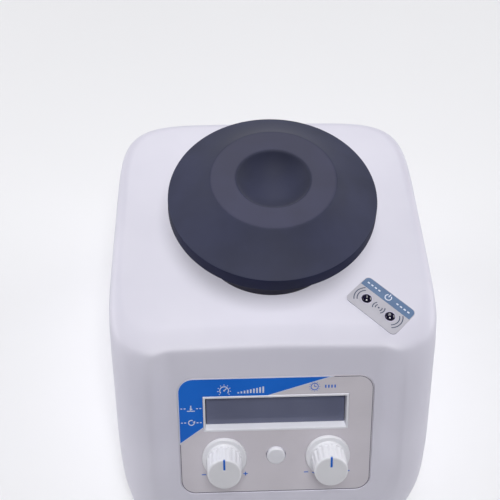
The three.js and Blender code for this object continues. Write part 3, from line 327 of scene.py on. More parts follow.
rubberSkin = {"patch": 26, "grain": 0.35, "relief": 0.35, "rough": (0.6, 0.72)}
sheetInk = {"grain": 0.25, "relief": 0.06, "rough": (0.35, 0.42)}
plateInk = {"patch": 6, "grain": 0.2, "relief": 0.1}
finishLooks = {
    "housing": {"dark": (212, 210, 224), "light": (218, 216, 229), "patch": 60, "grain": 0.5, "relief": 0.1,
                "rough": (0.42, 0.5)},
    "base": {"dark": (30, 30, 33), "light": (38, 38, 41), "grain": 0.8, "relief": 0.5, "rough": (0.5, 0.62)},
    "foot": {"dark": (20, 20, 22), "light": (29, 29, 31), "grain": 0.6, "relief": 0.4, "rough": (0.75, 0.88)},
    "zinc": {"dark": (168, 172, 178), "light": (196, 199, 203), "patch": 6, "rough": (0.28, 0.42), "metal": 1},
    "pad": {**rubberSkin, "dark": (43, 46, 68), "light": (51, 54, 79), "shine": 0.35, "sheen": 0.06},
    # painted highlight: the flat crown's lighter copy of the pad rubber
    "padCrownPaintedHighlight": {**rubberSkin, "dark": (50, 51, 75), "light": (58, 59, 85), "rough": (0.56, 0.68), "shine": 0.4,
                 "sheen": 0.06},
    # painted shade: the upright rim's darker copy of the pad rubber
    "padRimPaintedShade": {**rubberSkin, "dark": (19, 23, 52), "light": (25, 29, 62), "relief": 0.3, "shine": 0.2},
    "boot": {"dark": (70, 69, 84), "light": (78, 77, 93), "grain": 0.3, "relief": 0.3, "rough": (0.7, 0.82)},
    "cast": {"dark": (176, 178, 182), "light": (198, 200, 204), "stretch": 12, "rough": (0.3, 0.45), "metal": 1},
    "steel": {"dark": (150, 152, 156), "light": (178, 180, 184), "stretch": 14, "rough": (0.2, 0.34), "metal": 1},
    "winding": {"dark": (120, 62, 34), "light": (172, 98, 55), "grain": 0.5, "relief": 0.9,
                "stretch": 4, "rough": (0.35, 0.5), "metal": 0.8},
    "panel": {"dark": (206, 201, 209), "light": (213, 208, 216), "grain": 0.25, "relief": 0.08, "rough": (0.4, 0.48)},
    "printBlue": {**sheetInk, "dark": (8, 101, 206), "light": (13, 108, 214)},
    "printPale": {**sheetInk, "dark": (208, 214, 232), "light": (216, 221, 238)},
    # painted shadow: the dark line along the grey sheet's edge
    "panelPaintedShadow": {**sheetInk, "dark": (78, 78, 98), "light": (90, 90, 110), "rough": (0.4, 0.5)},
    "white": {"dark": (222, 222, 230), "light": (229, 229, 236), "grain": 0.3, "relief": 0.1, "rough": (0.32, 0.4)},
    "knob": {"dark": (220, 220, 226), "light": (228, 228, 234), "grain": 0.35, "relief": 0.12, "rough": (0.34, 0.42)},
    "display": {"dark": (97, 101, 124), "light": (105, 109, 132), "patch": 40, "grain": 0.2, "relief": 0.02,
                "rough": (0.3, 0.38), "coat": 0.15, "coatRough": 0.25, "shine": 0.3},
    "control_shaft": {"dark": (186, 188, 192), "light": (204, 206, 210), "stretch": 10,
                      "rough": (0.25, 0.36), "metal": 1},
    "sensor": {"dark": (172, 170, 181), "light": (179, 177, 188), "patch": 8, "grain": 0.2, "relief": 0.15,
               "rough": (0.3, 0.4)},
    "sensorBand": {**plateInk, "dark": (66, 98, 140), "light": (76, 108, 148), "patch": 8, "rough": (0.3, 0.38)},
    "sensorInk": {**plateInk, "dark": (50, 60, 90), "light": (60, 70, 98), "rough": (0.4, 0.5)},
    # painted highlight: the pale ring on the edge of each lens hole
    "sensorRingHighlight": {**plateInk, "dark": (188, 184, 208), "light": (196, 192, 214), "rough": (0.35, 0.45)},
    "lens": {"dark": (14, 10, 34), "light": (24, 18, 48), "patch": 3, "grain": 0.2, "relief": 0.0,
             "rough": (0.04, 0.08), "coat": 1.0, "coatRough": 0.02},
    "board": {"dark": (24, 84, 50), "light": (30, 98, 58), "patch": 5, "grain": 0.6, "relief": 0.4,
              "rough": (0.3, 0.42)},
    "black": {"dark": (24, 24, 26), "light": (31, 31, 34), "relief": 0.25, "rough": (0.4, 0.52)},
}
finishes = {name: newFinish(name, look) for name, look in finishLooks.items()}

for part in frame["record"]["subparts"]:
    node = frame["nodes"][part["node"]]
    node.data.materials.clear()
    node.data.materials.append(finishes[part["material_slot"]])
print("finishes on", len(frame["nodes"]), "CAD nodes")


# Camera, at the photograph's place: its reach is from the head's middle at deck level

camera = {"lens": 54.45, "tilt": 54.59, "turn": -2.96, "roll": 1.3, "reach": (-22.15, -231.20, 314.75),
          "shiftY": 0.002, "nearest": 0.01}


def setCamera():
    tilt, turn, roll = (radians(camera[key]) for key in ("tilt", "turn", "roll"))
    data = bpy.data.cameras.new("camera")
    data.lens, data.shift_y, data.clip_start = camera["lens"], camera["shiftY"], camera["nearest"]
    eye = bpy.data.objects.new("camera", data)
    scene.collection.objects.link(eye)
    x, y, z = camera["reach"]
    place = Matrix.Translation((headAxis.x + x * mm, headAxis.y + y * mm, deck + z * mm))
    eye.matrix_world = (place @ Matrix.Rotation(turn, 4, "Z") @ Matrix.Rotation(pi / 2 - tilt, 4, "X")
                        @ Matrix.Rotation(roll, 4, "Z"))
    scene.camera = eye


setCamera()


# Housing

housing = {"lean": 36, "backReach": 86.4, "frontReach": 60.4, "cheekReach": 7.4, "cheekFade": 52,
           "flatFrontHalf": 49.9, "cheekCrestHalf": 62.9, "squareness": 6, "lip": 27, "bend": 9, "fillet": 7,
           "crestReach": 10, "crestDrop": 2, "crestFoot": 4.5, "crestPull": 3, "crestSteps": 32,
           "bowRise": 1.3, "bowHalf": 49, "bowPower": 1.3, "bowFade": 14, "cheekEase": 2,
           "hem": 1.5, "wall": 3, "around": 256, "rearRow": 42, "gap": 0.3, "cut": 4, "recessCorner": 7.8,
           "controlHoles": {"speed_shaft": 3.8, "time_shaft": 3.8, "mode_button": 4.9},
           "flanges": {"power_inlet": 3, "power_switch_body": 1.4}, "headHole": 36.8, "lensHole": 2.8}
lean = radians(housing["lean"])
footHeight = shellLow.z
slopeDrop = deck - footHeight - housing["lip"] * mm

# The sloping front's own frame, whose Y runs up the slope and whose Z stands out of it, and the back's.
slopePlace = Matrix((
    (1, 0, 0, 0),
    (0, sin(lean), -cos(lean), headAxis.y - housing["frontReach"] * mm),
    (0, cos(lean), sin(lean), deck),
    (0, 0, 0, 1),
))
backPlace = Matrix((
    (-1, 0, 0, 0),
    (0, 0, 1, headAxis.y + housing["backReach"] * mm),
    (0, 1, 0, housing["rearRow"] * mm),
    (0, 0, 0, 1),
))


# A node's lowest and highest corners in another frame.
def boxIn(place, node):
    back = place.inverted()
    corners = [back @ vertex.co for vertex in frame["nodes"][node].data.vertices]
    return [Vector([end(corner[i] for corner in corners) for i in range(3)]) for end in (min, max)]


# A node's middle across and along another frame.
def middleIn(place, node):
    low, high = boxIn(place, node)
    return (low.x + high.x) / 2, (low.y + high.y) / 2


# A block that cuts away a node's box in another frame, with a margin round it.
def boxCutter(place, node, margin, low, high, corner=0.0):
    nodeLow, nodeHigh = boxIn(place, node)
    return blockPiece("cutter", nodeHigh.x - nodeLow.x + 2 * margin, nodeHigh.y - nodeLow.y + 2 * margin,
                      low, high, *middleIn(place, node), corner=corner)


# Rods that cut the holes for the knobs' shafts and the key.
def controlCutters(low, high, sides):
    return [rodPiece("cutter", radius * mm, low, high, *middleIn(slopePlace, node), sides=sides)
            for node, radius in housing["controlHoles"].items()]


def smoothStep(value, low, high):
    share = min(max((value - low) / (high - low), 0), 1)
    return share * share * (3 - 2 * share)


# How far the front has run forward below the deck: straight, then bent into the upright lip.
def frontRun(height):
    depth = deck - height
    bend = housing["bend"] * mm
    past = depth - (slopeDrop - bend)
    if past <= 0:
        return tan(lean) * depth
    if past >= 2 * bend:
        return tan(lean) * slopeDrop
    return tan(lean) * (depth - past * past / (4 * bend))


# How much of the edge's own shape over the panel is left at a height: it fades out down the slope.
def edgeShare(height):
    return 1 - smoothStep(deck - height, 0, housing["bowFade"] * mm)


# How far the edge over the panel bows forward of a straight line towards its ends.
def edgeBow(x, height):
    return housing["bowRise"] * mm * (abs(x) / (housing["bowHalf"] * mm)) ** housing["bowPower"] * edgeShare(height)


# A point of the housing's outline at a height, a share of the way round, drawn in at the sides and in front.
def outlinePoint(share, height, inset, frontInset):
    halfWidth = (shellHigh.x - shellLow.x) / 2 - inset
    backY = housing["backReach"] * mm - inset
    flatY = frontInset - housing["frontReach"] * mm - frontRun(height)
    sunk = smoothStep(deck - height, housing["cheekFade"] * mm, slopeDrop + housing["bend"] * mm)
    cheekY = flatY - (housing["cheekReach"] - housing["cheekEase"] * edgeShare(height)) * mm * (1 - sunk)
    middleY, halfDepth = (backY + cheekY) / 2, (backY - cheekY) / 2

    def bulge(value):
        return 0 if abs(value) < 1e-9 else value / abs(value) * abs(value) ** (2 / housing["squareness"])

    x = halfWidth * bulge(cos(2 * pi * share))
    y = middleY + halfDepth * bulge(sin(2 * pi * share))
    if y < middleY:
        cheek = smoothStep(abs(x), housing["flatFrontHalf"] * mm, housing["cheekCrestHalf"] * mm)
        y = flatY + (y - flatY) * cheek - edgeBow(x, height) * (1 - cheek)
    return Vector((headAxis.x + x, headAxis.y + y, height))


# Heights of the outline from the hem to the deck, with how far each is drawn in at the sides and in front.
# The side edge is a round fillet. The front one is a weighted curve: the deck dips a little towards a crisp
# crest, which lies on the slope just below deck level.
def housingLevels():
    hem, fillet, bend, reach, drop, foot = (housing[key] * mm for key in (
        "hem", "fillet", "bend", "crestReach", "crestDrop", "crestFoot"))
    lipTop = footHeight + housing["lip"] * mm
    fadeTop = deck - housing["cheekFade"] * mm
    count, pull = housing["crestSteps"], housing["crestPull"]
    crest = Vector((drop * tan(lean), drop))
    start = Vector((-reach, 0))
    corners = [start, Vector((start.lerp(crest, 0.5).x, 0)), crest, crest + foot * Vector((sin(lean), cos(lean)))]
    levels = []
    for i in range(4):
        inset = hem * (1 - sin(i * pi / 8))
        levels.append((footHeight + hem - inset, inset, inset))
    for low, high, steps in ((footHeight + hem, lipTop - bend, 4), (lipTop - bend, lipTop + bend, 16),
                             (lipTop + bend, fadeTop, 10), (fadeTop, deck - corners[3].y, 12)):
        levels += [(low + (high - low) * i / steps, 0, 0) for i in range(steps)]
    for i in range(count + 1):
        down = 1 - i / count
        shares = ((1 - down) ** 3, 3 * down * (1 - down) ** 2, 3 * pull * down ** 2 * (1 - down), down ** 3)
        forward, depth = sum((share * corner for share, corner in zip(shares, corners)), Vector((0, 0))) / sum(shares)
        side = fillet - (fillet ** 2 - max(fillet - depth, 0) ** 2) ** 0.5
        levels.append((deck - depth, side, tan(lean) * depth - forward))
    return levels + [(deck, fillet + 1.5 * mm, reach + 1.5 * mm)]


def makeHousing():
    levels = housingLevels()
    around = housing["around"]
    letGo()
    bpy.ops.mesh.primitive_grid_add(x_subdivisions=around, y_subdivisions=len(levels) - 1, size=1)
    skin = named("housing_skin")
    for vertex in skin.data.vertices:
        level = levels[round((vertex.co.y + 0.5) * (len(levels) - 1))]
        vertex.co = outlinePoint(round((vertex.co.x + 0.5) * around) / around, *level)
    openUp(skin, everything=True)
    bpy.ops.mesh.remove_doubles(threshold=1e-6)
    pick(skin, "EDGE", lambda edge: edge.is_boundary and edge.verts[0].co.z > deck - 1e-6)
    bpy.ops.mesh.edge_face_add()
    closeOutward()
    applyModifier(skin, "SOLIDIFY", thickness=housing["wall"] * mm, offset=-1, use_even_offset=True)
    cutAway(skin, housingCutters())
    smooth(skin)
    dress(skin, "housing", "body", "housing", "housing_shell")


def housingCutters():
    gap, cut = housing["gap"] * mm, housing["cut"] * mm
    sheetFloor = boxIn(slopePlace, "panel_overlay")[0].z
    front = [boxCutter(slopePlace, "panel_overlay", gap, sheetFloor - gap, cut, housing["recessCorner"] * mm),
             boxCutter(slopePlace, "display_frame", gap, -cut, cut)] + controlCutters(-cut, cut, 48)
    for cutter in front:
        settle(cutter, slopePlace)
    back = [boxCutter(backPlace, node, gap - flange * mm, -cut, cut) for node, flange in housing["flanges"].items()]
    for cutter in back:
        settle(cutter, backPlace)
    low, high = deck - cut, deck + cut
    top = [rodPiece("cutter", housing["headHole"] * mm, low, high, motorAxis.x, motorAxis.y, sides=128)]
    for node in ("sensor_lens_1", "sensor_lens_2"):
        middle = middleOf(node)
        top.append(rodPiece("cutter", housing["lensHole"] * mm, low, high, middle.x, middle.y))
    return front + back + top


makeHousing()
print("housing")


# Rubber head: a soft-edged rim, a cone that sags a little, a flat crown and a round cup

head = {"radius": 50, "flare": 0.4, "rim": 7, "rimEdge": 0.1, "rimSoft": 0.5, "crown": 29.5, "crownSoft": 1.0,
        "sag": 0.9, "cup": 17.5, "cupDepth": 10.5, "cupSoft": 1.2, "socket": 32.3, "socketDepth": 5.6,
        "socketChamfer": 0.6}


# Points of a rounded corner between two straight runs of a profile.
def roundedCorner(before, corner, after, reach, steps=6):
    start = corner + (before - corner).normalized() * reach
    end = corner + (after - corner).normalized() * reach
    shares = [i / steps for i in range(steps + 1)]
    return [(1 - share) ** 2 * start + 2 * share * (1 - share) * corner + share ** 2 * end for share in shares]


def headProfile():
    low, top = padLow.z / mm, padHigh.z / mm
    rimTop = low + head["rim"]
    outer = head["radius"] + head["flare"]
    socket, ceiling, chamfer = head["socket"], low + head["socketDepth"], head["socketChamfer"]
    points = [Vector((pole, ceiling)), Vector((socket, ceiling)), Vector((socket, low + chamfer)),
              Vector((socket + chamfer, low))]
    rimLow, rimHigh = Vector((outer, low)), Vector((head["radius"], rimTop))
    crown = Vector((head["crown"], top))

    def cone(share):
        point = rimHigh.lerp(crown, share)
        return point - Vector((0, 4 * head["sag"] * share * (1 - share)))

    points += roundedCorner(Vector((socket, low)), rimLow, rimHigh, head["rimSoft"])
    points += roundedCorner(rimLow, rimHigh, cone(0.1), head["rimSoft"], 8)
    points += [cone(share / 12) for share in range(1, 11)]
    lip = Vector((head["cup"], top))
    points += roundedCorner(cone(11 / 12), crown, lip, head["crownSoft"], 10)
    bowl = (head["cup"] ** 2 + head["cupDepth"] ** 2) / (2 * head["cupDepth"])
    spread = asin(head["cup"] / bowl)

    def cup(share):
        turn = spread * (1 - share)
        return Vector((bowl * sin(turn), top - head["cupDepth"] + bowl * (1 - cos(turn))))

    points += roundedCorner(crown, lip, cup(0.1), head["cupSoft"], 8)
    return points + [cup(share / 16) for share in range(2, 16)] + [Vector((pole, top - head["cupDepth"]))]


# Its upright rim has a darker copy of the rubber as painted shade, and its flat crown a lighter one as a painted
# highlight. A zone has its finish, its lowest and highest height, and its inner and outer radius in mm.
def makeHead():
    pad = turnedPiece("head_rubber", headProfile(), headAxis.x, headAxis.y, sides=160)
    dress(pad, "pad", "head", "pad", "head_pad")
    zones = (("padRimPaintedShade", padLow.z, padLow.z + (head["rim"] - head["rimEdge"]) * mm, head["radius"] - 0.6, 60),
             ("padCrownPaintedHighlight", padHigh.z - 0.2 * mm, padHigh.z, head["cup"] + 0.4, head["crown"]))
    openUp(pad)
    for finish, low, high, inner, outer in zones:
        pad.data.materials.append(finishes[finish])

        def inZone(face):
            middle = face.calc_center_median()
            reach = (middle - headAxis).xy.length
            return low - 0.01 * mm < middle.z < high + 0.01 * mm and inner * mm < reach < outer * mm

        pick(pad, "FACE", inZone)
        pad.active_material_index = len(pad.data.materials) - 1
        bpy.ops.object.material_slot_assign()
    closeUp()


makeHead()


# Bellows under the head, held to the deck below and left free above

boot = {"radius": 36.4, "topRadius": 30, "wall": 2, "flange": 3.6, "flangeThickness": 2, "steps": 48,
        "fold": 1.6, "foldStart": 0.12, "foldLength": 0.36, "foldEnd": 0.84}


# The bellows' outer radius at a share of its height. Its folds run between two such shares.
def bootRadiusAt(share):
    wave = 0.5 - 0.5 * cos(2 * pi * max(share - boot["foldStart"], 0) / boot["foldLength"])
    folded = boot["fold"] * wave if share < boot["foldEnd"] else 0
    return boot["radius"] + (boot["topRadius"] - boot["radius"]) * share - folded


def makeBoot():
    low, top, face = bootLow.z / mm, bootHigh.z / mm, deck / mm
    steps, outer = boot["steps"], boot["radius"] + boot["flange"]
    wall = [(bootRadiusAt(i / steps), face + (top - face) * i / steps) for i in range(steps + 1)]
    inner = [(radius - boot["wall"], height) for radius, height in reversed(wall)]
    flangeTop, foot = low + boot["flangeThickness"], (boot["radius"] - boot["wall"], low)
    profile = [foot, (outer, low), (outer, flangeTop), (boot["radius"], flangeTop)] + wall + inner + [foot]
    bellows = turnedPiece("head_bellows", profile, motorAxis.x, motorAxis.y, sides=128)
    dress(bellows, "boot", "body", "boot", "head_boot")
    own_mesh(bellows)


makeBoot()
print("head and bellows")


# Coil springs under the motor plate

spring = {"radius": 4.6, "wire": 0.6, "turns": 4, "stepsPerTurn": 28, "stepsRound": 10, "seatBelow": 0.6,
          "seatAbove": 0.3}


def makeSpring(number):
    node = f"plate_spring_{number}"
    low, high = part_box(node)
    middle = (low + high) / 2
    wire = spring["wire"] * mm
    height = high.z - low.z - 2 * wire
    letGo()
    bpy.ops.mesh.primitive_circle_add(vertices=spring["stepsRound"], radius=wire, fill_type="NOTHING",
                                      location=(spring["radius"] * mm, 0, 0), rotation=(pi / 2, 0, 0))
    coil = named(f"coil_{number}")
    steps = spring["turns"] * spring["stepsPerTurn"]
    applyModifier(coil, "SCREW", angle=2 * pi * spring["turns"], screw_offset=height, axis="Z", steps=steps,
                  render_steps=steps, use_merge_vertices=False)
    openUp(coil)
    pick(coil, "EDGE", lambda edge: edge.is_boundary)
    bpy.ops.mesh.fill_holes(sides=0)
    closeOutward()
    settle(coil, Matrix.Translation((middle.x, middle.y, low.z + wire)))
    smooth(coil, 60)
    dress(coil, "steel", "body", "steel", node)
    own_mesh(coil)


for number in (1, 2, 3):
    makeSpring(number)
print("springs")


# Marks printed on the panel and the sensor plate: thin pieces laid on a surface

ink = 0.04 * mm


def settleMark(mark, x, y, turn):
    return settle(mark, shift(x, y) @ Matrix.Rotation(radians(turn), 4, "Z"))


def barMark(x, y, length, width, turn=0.0, low=0.0):
    return settleMark(blockPiece("mark", length * mm, width * mm, low * mm, low * mm + ink), x, y, turn)


def discMark(x, y, radius, low=0.0, sides=40, turn=0.0):
    return settleMark(rodPiece("mark", radius * mm, low * mm, low * mm + ink, sides=sides), x, y, turn)


# An arc is a short edge at its end, swept back to its start and given its thickness.
def arcMark(x, y, radius, width, start, end, low=0.0, steps=24):
    letGo()
    bpy.ops.mesh.primitive_plane_add(size=width * mm, location=(radius * mm, 0, low * mm))
    arc = named("mark")
    openUp(arc)
    pick(arc, "EDGE", lambda edge: all(vertex.co.y > 0 for vertex in edge.verts))
    bpy.ops.mesh.select_mode(type="VERT")
    bpy.ops.mesh.delete(type="VERT")
    bpy.ops.mesh.select_all(action="SELECT")
    bpy.ops.transform.translate(value=(0, width * mm / 2, 0))
    bpy.ops.mesh.spin(steps=steps, angle=radians(end - start), center=(0, 0, low * mm), axis=(0, 0, 1))
    bpy.ops.mesh.select_all(action="SELECT")
    if abs(end - start) > 359:
        bpy.ops.mesh.remove_doubles(threshold=1e-7)
    bpy.ops.mesh.extrude_region_move(TRANSFORM_OT_translate={"value": (0, 0, ink)})
    closeOutward()
    return settleMark(arc, x, y, end)


# Front panel: a grey sheet with a blue field, laid out down the slope from deck level

panel = {"corner": 7.5, "border": 0.45, "line": 0.33, "gap": 0.1, "mouth": -6.1, "mouthDrop": 28.9,
         "slantRun": 32.2, "slantFall": 9.9, "foot": -41.9, "footDrop": 49.9, "footRun": 6.5, "footFall": 4.9,
         "hairInset": 0.3, "hairWidth": 0.3, "hairGap": 0.9, "hairStart": 28, "softEdge": 0.12,
         "lineThickness": 0.02, "fieldThickness": 0.04}


# A flat piece: a round plate with as many corners as the outline, each moved to its place.
def sheetPiece(name, outline, thickness):
    letGo()
    bpy.ops.mesh.primitive_circle_add(vertices=len(outline), radius=1, fill_type="NGON")
    sheet = named(name)
    for vertex, (x, y) in zip(sheet.data.vertices, outline):
        vertex.co = (x * mm, y * mm, 0)
    openUp(sheet, everything=True)
    bpy.ops.mesh.extrude_region_move(TRANSFORM_OT_translate={"value": (0, 0, thickness * mm)})
    closeOutward()
    return sheet


# The lower edge of the blue field's column, a drop below its own line.
def fieldFoot(x, drop):
    return -panel["footDrop"] - drop - (panel["foot"] - x) * panel["footFall"] / panel["footRun"]


# The blue field fills the sheet's upper left: a band that tapers to the right and a column beside the window.
def fieldOutline(grow):
    sheetLow, sheetHigh = boxIn(slopePlace, "panel_overlay")
    frameLow, frameHigh = boxIn(slopePlace, "display_frame")
    edge = panel["border"] - grow
    left, top = sheetLow.x / mm + edge, sheetHigh.y / mm - edge
    frameLeft, frameTop = frameLow.x / mm - panel["gap"], frameHigh.y / mm + panel["gap"]
    run, fall = panel["slantRun"], panel["slantFall"]
    slide = grow * hypot(run, fall) / fall

    def slant(y):
        return panel["mouth"] + slide + (panel["mouthDrop"] + y) * run / fall

    drop = grow * hypot(panel["footRun"], panel["footFall"]) / panel["footRun"]
    radius = panel["corner"] - edge
    outline = [(left, fieldFoot(left, drop))]
    for i in range(13):
        turn = pi - i * pi / 24
        outline.append((left + radius * (1 + cos(turn)), top - radius * (1 - sin(turn))))
    return outline + [(slant(top), top), (slant(frameTop), frameTop), (frameLeft, frameTop),
                      (frameLeft, fieldFoot(frameLeft, drop))]


def makePanel():
    low, high = boxIn(slopePlace, "panel_overlay")
    sheet = blockPiece("panel_sheet", high.x - low.x, high.y - low.y, low.z, high.z, 0, (low.y + high.y) / 2,
                       corner=panel["corner"] * mm, steps=12)
    cut = 10 * mm
    cutAway(sheet, [boxCutter(slopePlace, "display_frame", panel["gap"] * mm, -cut, cut)]
            + controlCutters(-cut, cut, 64))
    soften(sheet, panel["softEdge"], 2)
    dress(settle(sheet, slopePlace), "panel", "body", "panel", "panel_overlay")
    for name, grow, thickness, finish in (
            # The pale border round the blue field is a painted highlight along the field's edge.
            ("panel_highlight_border", panel["line"], panel["lineThickness"], "printPale"),
            ("panel_field", 0, panel["fieldThickness"], "printBlue")):
        field = sheetPiece(name, fieldOutline(grow), thickness)
        dress(settle(field, slopePlace), finish, "body", "panel")


# A dark line just inside the sheet's edge, wherever the sheet is grey: a painted shadow of the sheet's edge.
def makeShadowLine():
    low, high = (corner / mm for corner in boxIn(slopePlace, "panel_overlay"))
    width, corner = panel["hairWidth"], panel["corner"]
    edge = panel["hairInset"] + width / 2
    left, right, foot, top = low.x + edge, high.x - edge, low.y + edge, high.y - edge
    leftMiddle, rightMiddle = low.x + corner, high.x - corner
    footMiddle, topMiddle = low.y + corner, high.y - corner
    fieldEnd = fieldFoot(left, panel["hairGap"])
    marks = [arcMark(x, y, corner - edge, width, turn, turn + 90) for x, y, turn in (
        (rightMiddle, topMiddle, 0), (leftMiddle, footMiddle, 180), (rightMiddle, footMiddle, 270))]
    marks += [barMark((start + end) / 2, y, end - start, width) for start, end, y in (
        (panel["hairStart"], rightMiddle, top), (leftMiddle, rightMiddle, foot))]
    marks += [barMark(x, (start + end) / 2, width, end - start) for start, end, x in (
        (footMiddle, topMiddle, right), (footMiddle, fieldEnd, left))]
    settleAll(marks, "panel_painted_shadow_line", slopePlace, "panelPaintedShadow", "panel")


makePanel()
makeShadowLine()


# Display: a thin white frame as deep as its well, and dark glass on its floor

display = {"frameEdge": 0.22, "glassEdge": 0.15}

softCopy("display_frame", "display_surround", "white", "body", display["frameEdge"])
softCopy("display_glass", "display_window", "display", "body", display["glassEdge"], 2)
print("panel and display")


# Knobs with a thin skirt, a fluted grip and a blue line set in a groove

knob = {"lift": 0.5, "skirt": 11, "skirtHeight": 2.4, "grip": 8.6, "taper": 0.5, "height": 15, "round": 1.2,
        "chamfer": 0.3, "skirtRound": 0.8, "rootRound": 0.7, "dish": 0.3, "softEdge": 0.08, "bore": 3.1,
        "boreDepth": 11, "flutes": 18, "fluteRadius": 1.5, "fluteSink": 0.42, "fluteFoot": 4.6, "lineInner": 2.2,
        "grooveWidth": 1.1, "grooveDepth": 0.9, "lineWidth": 1.0, "lineShort": 0.9, "lineSink": 0.35,
        "lineFoot": 0.95, "keyEdge": 0.5}


def knobProfile():
    foot, top = knob["lift"], knob["lift"] + knob["height"]
    shelf, ceiling = foot + knob["skirtHeight"], foot + knob["boreDepth"]
    bore, skirt, chamfer = knob["bore"], knob["skirt"], knob["chamfer"]
    points = [Vector((pole, ceiling)), Vector((bore, ceiling)), Vector((bore, foot)),
              Vector((skirt - chamfer, foot)), Vector((skirt, foot + chamfer))]
    skirtTop, root = Vector((skirt, shelf)), Vector((knob["grip"], shelf))
    crest, middle = Vector((knob["grip"] - knob["taper"], top)), Vector((pole, top - knob["dish"]))
    points += roundedCorner(Vector((skirt, foot)), skirtTop, root, knob["skirtRound"])
    points += roundedCorner(skirtTop, root, crest, knob["rootRound"])
    points += [root.lerp(crest, share) for share in (0.3, 0.6)]
    points += roundedCorner(root, crest, middle, knob["round"], 8)
    return points + [crest.lerp(middle, share) for share in (0.4, 0.7)] + [middle]


def makeKnobs():
    body = turnedPiece("knob", knobProfile(), sides=144)
    top, inner = knob["lift"] + knob["height"], knob["lineInner"]
    above = (top + 1) * mm
    reach = knob["grip"] - knob["taper"] / 2 + knob["fluteRadius"] - knob["fluteSink"]
    cutters = []
    for i in range(knob["flutes"]):
        turn = 2 * pi * i / knob["flutes"]
        cutters.append(rodPiece("cutter", knob["fluteRadius"] * mm, knob["fluteFoot"] * mm, above,
                                reach * cos(turn) * mm, reach * sin(turn) * mm, sides=24))
    length = knob["grip"] - inner
    cutters.append(blockPiece("cutter", knob["grooveWidth"] * mm, length * mm, (top - knob["grooveDepth"]) * mm,
                              above, 0, (inner + length / 2) * mm))
    cutAway(body, cutters)
    soften(body, knob["softEdge"], 2, 40)
    length -= knob["lineShort"]
    line = blockPiece("line", knob["lineWidth"] * mm, length * mm, (top - knob["lineFoot"]) * mm,
                      (top - knob["lineSink"]) * mm, 0, (inner + length / 2) * mm)
    soften(line, 0.12, 2)
    for label in ("speed", "time"):
        node, carrier = f"{label}_knob", f"{label}_control"
        place = slopePlace @ Matrix.Translation((*middleIn(slopePlace, node), 0))
        dress(settle(ownCopy(body, f"{label}_dial"), place), "knob", carrier, "knob", node)
        dress(settle(ownCopy(line, f"{label}_line"), place), "printBlue", carrier, "knob")
    bpy.data.objects.remove(body)
    bpy.data.objects.remove(line)
    softCopy("mode_button", "mode_key_cap", "white", "mode_key", knob["keyEdge"], 4)


makeKnobs()


# Signs on the panel in place of words: a dial for speed, a clock for time, and marks for the two ways
# of running, with minus and plus beside each knob

signs = {"dial": (-25.0, -25.2), "wedge": (-18.2, -25.4), "press": (-41.3, -34.6), "loop": (-41.3, -42.4),
         "clock": (18.6, -24.2), "ticks": (24.0, -24.2), "tickPitch": 1.5, "knobArc": 12.9, "knobMark": 10.4}


def dialSign(x, y):
    marks = [arcMark(x, y, 2.1, 0.45, -40, 220), barMark(x + 0.55, y + 0.55, 1.8, 0.45, 45), discMark(x, y, 0.45)]
    for i in range(9):
        turn = -40 + 260 * i / 8
        marks.append(barMark(x + 3 * cos(radians(turn)), y + 3 * sin(radians(turn)), 0.65, 0.35, turn))
    return marks


def wedgeSign(x, y):
    return [barMark(x + i * 1.5, y - 1.5 + (0.7 + i * 0.34) / 2, 0.8, 0.7 + i * 0.34) for i in range(9)]


def clockSign(x, y):
    marks = [arcMark(x, y, 1.75, 0.4, 0, 360), barMark(x, y + 0.55, 1.3, 0.35, 90),
             barMark(x + 0.45, y, 1.1, 0.35)]
    for i in range(12):
        marks.append(barMark(x + 2.5 * cos(i * pi / 6), y + 2.5 * sin(i * pi / 6), 0.4, 0.26, i * 30))
    return marks


def sideBars(x, y):
    return [barMark(x + side * reach, y, 0.9, 0.5) for side in (-1, 1) for reach in (3.0, 4.6)]


def pressSign(x, y):
    return [barMark(x, y - 1.35, 3.8, 0.45), barMark(x, y + 0.85, 1.6, 0.55, 90),
            discMark(x, y - 0.25, 0.95, sides=3, turn=-90)] + sideBars(x, y)


def loopSign(x, y):
    return [arcMark(x, y, 1.35, 0.48, 60, 350),
            discMark(x + 1.45, y + 0.35, 0.8, sides=3, turn=-30)] + sideBars(x, y)


def makeSigns():
    pale = (dialSign(*signs["dial"]) + wedgeSign(*signs["wedge"]) + pressSign(*signs["press"])
            + loopSign(*signs["loop"]))
    onField = slopePlace @ shift(0, 0, panel["fieldThickness"])
    settleAll(pale, "panel_signs_pale", onField, "printPale", "panel")
    x, y = signs["ticks"]
    blue = clockSign(*signs["clock"]) + [barMark(x + i * signs["tickPitch"], y, 0.7, 1.6) for i in range(4)]
    out = signs["knobMark"]
    for node in ("speed_knob", "time_knob"):
        x, y = (value / mm for value in middleIn(slopePlace, node))
        blue += [arcMark(x, y, signs["knobArc"], 0.35, 235, 305, steps=30)]
        blue += [barMark(x + side * out, y - out, 2.2, 0.5, turn) for side, turn in ((-1, 0), (1, 0), (1, 90))]
    settleAll(blue, "panel_signs_blue", slopePlace, "printBlue", "panel")


makeSigns()
print("knobs and signs")


# Sensor plate on the deck: a thin plate with a slate blue band, arcs and two polished lenses

sensor = {"turn": -46, "length": 30.4, "width": 18.2, "corner": 2.6, "thickness": 0.5, "softEdge": 0.22,
          "bandInset": 0.35, "bandFoot": 3.1, "lens": 2.4, "ring": 2.75, "lensProud": 1.9, "lensFlange": 0.6,
          "lensDome": 0.6, "arcs": (4.7, 6.25), "arcSpread": 46, "middle": 0.26, "middleArcs": (1.7, 3.05),
          "middleSpread": 38, "arcWidth": 0.5, "signRow": 6}


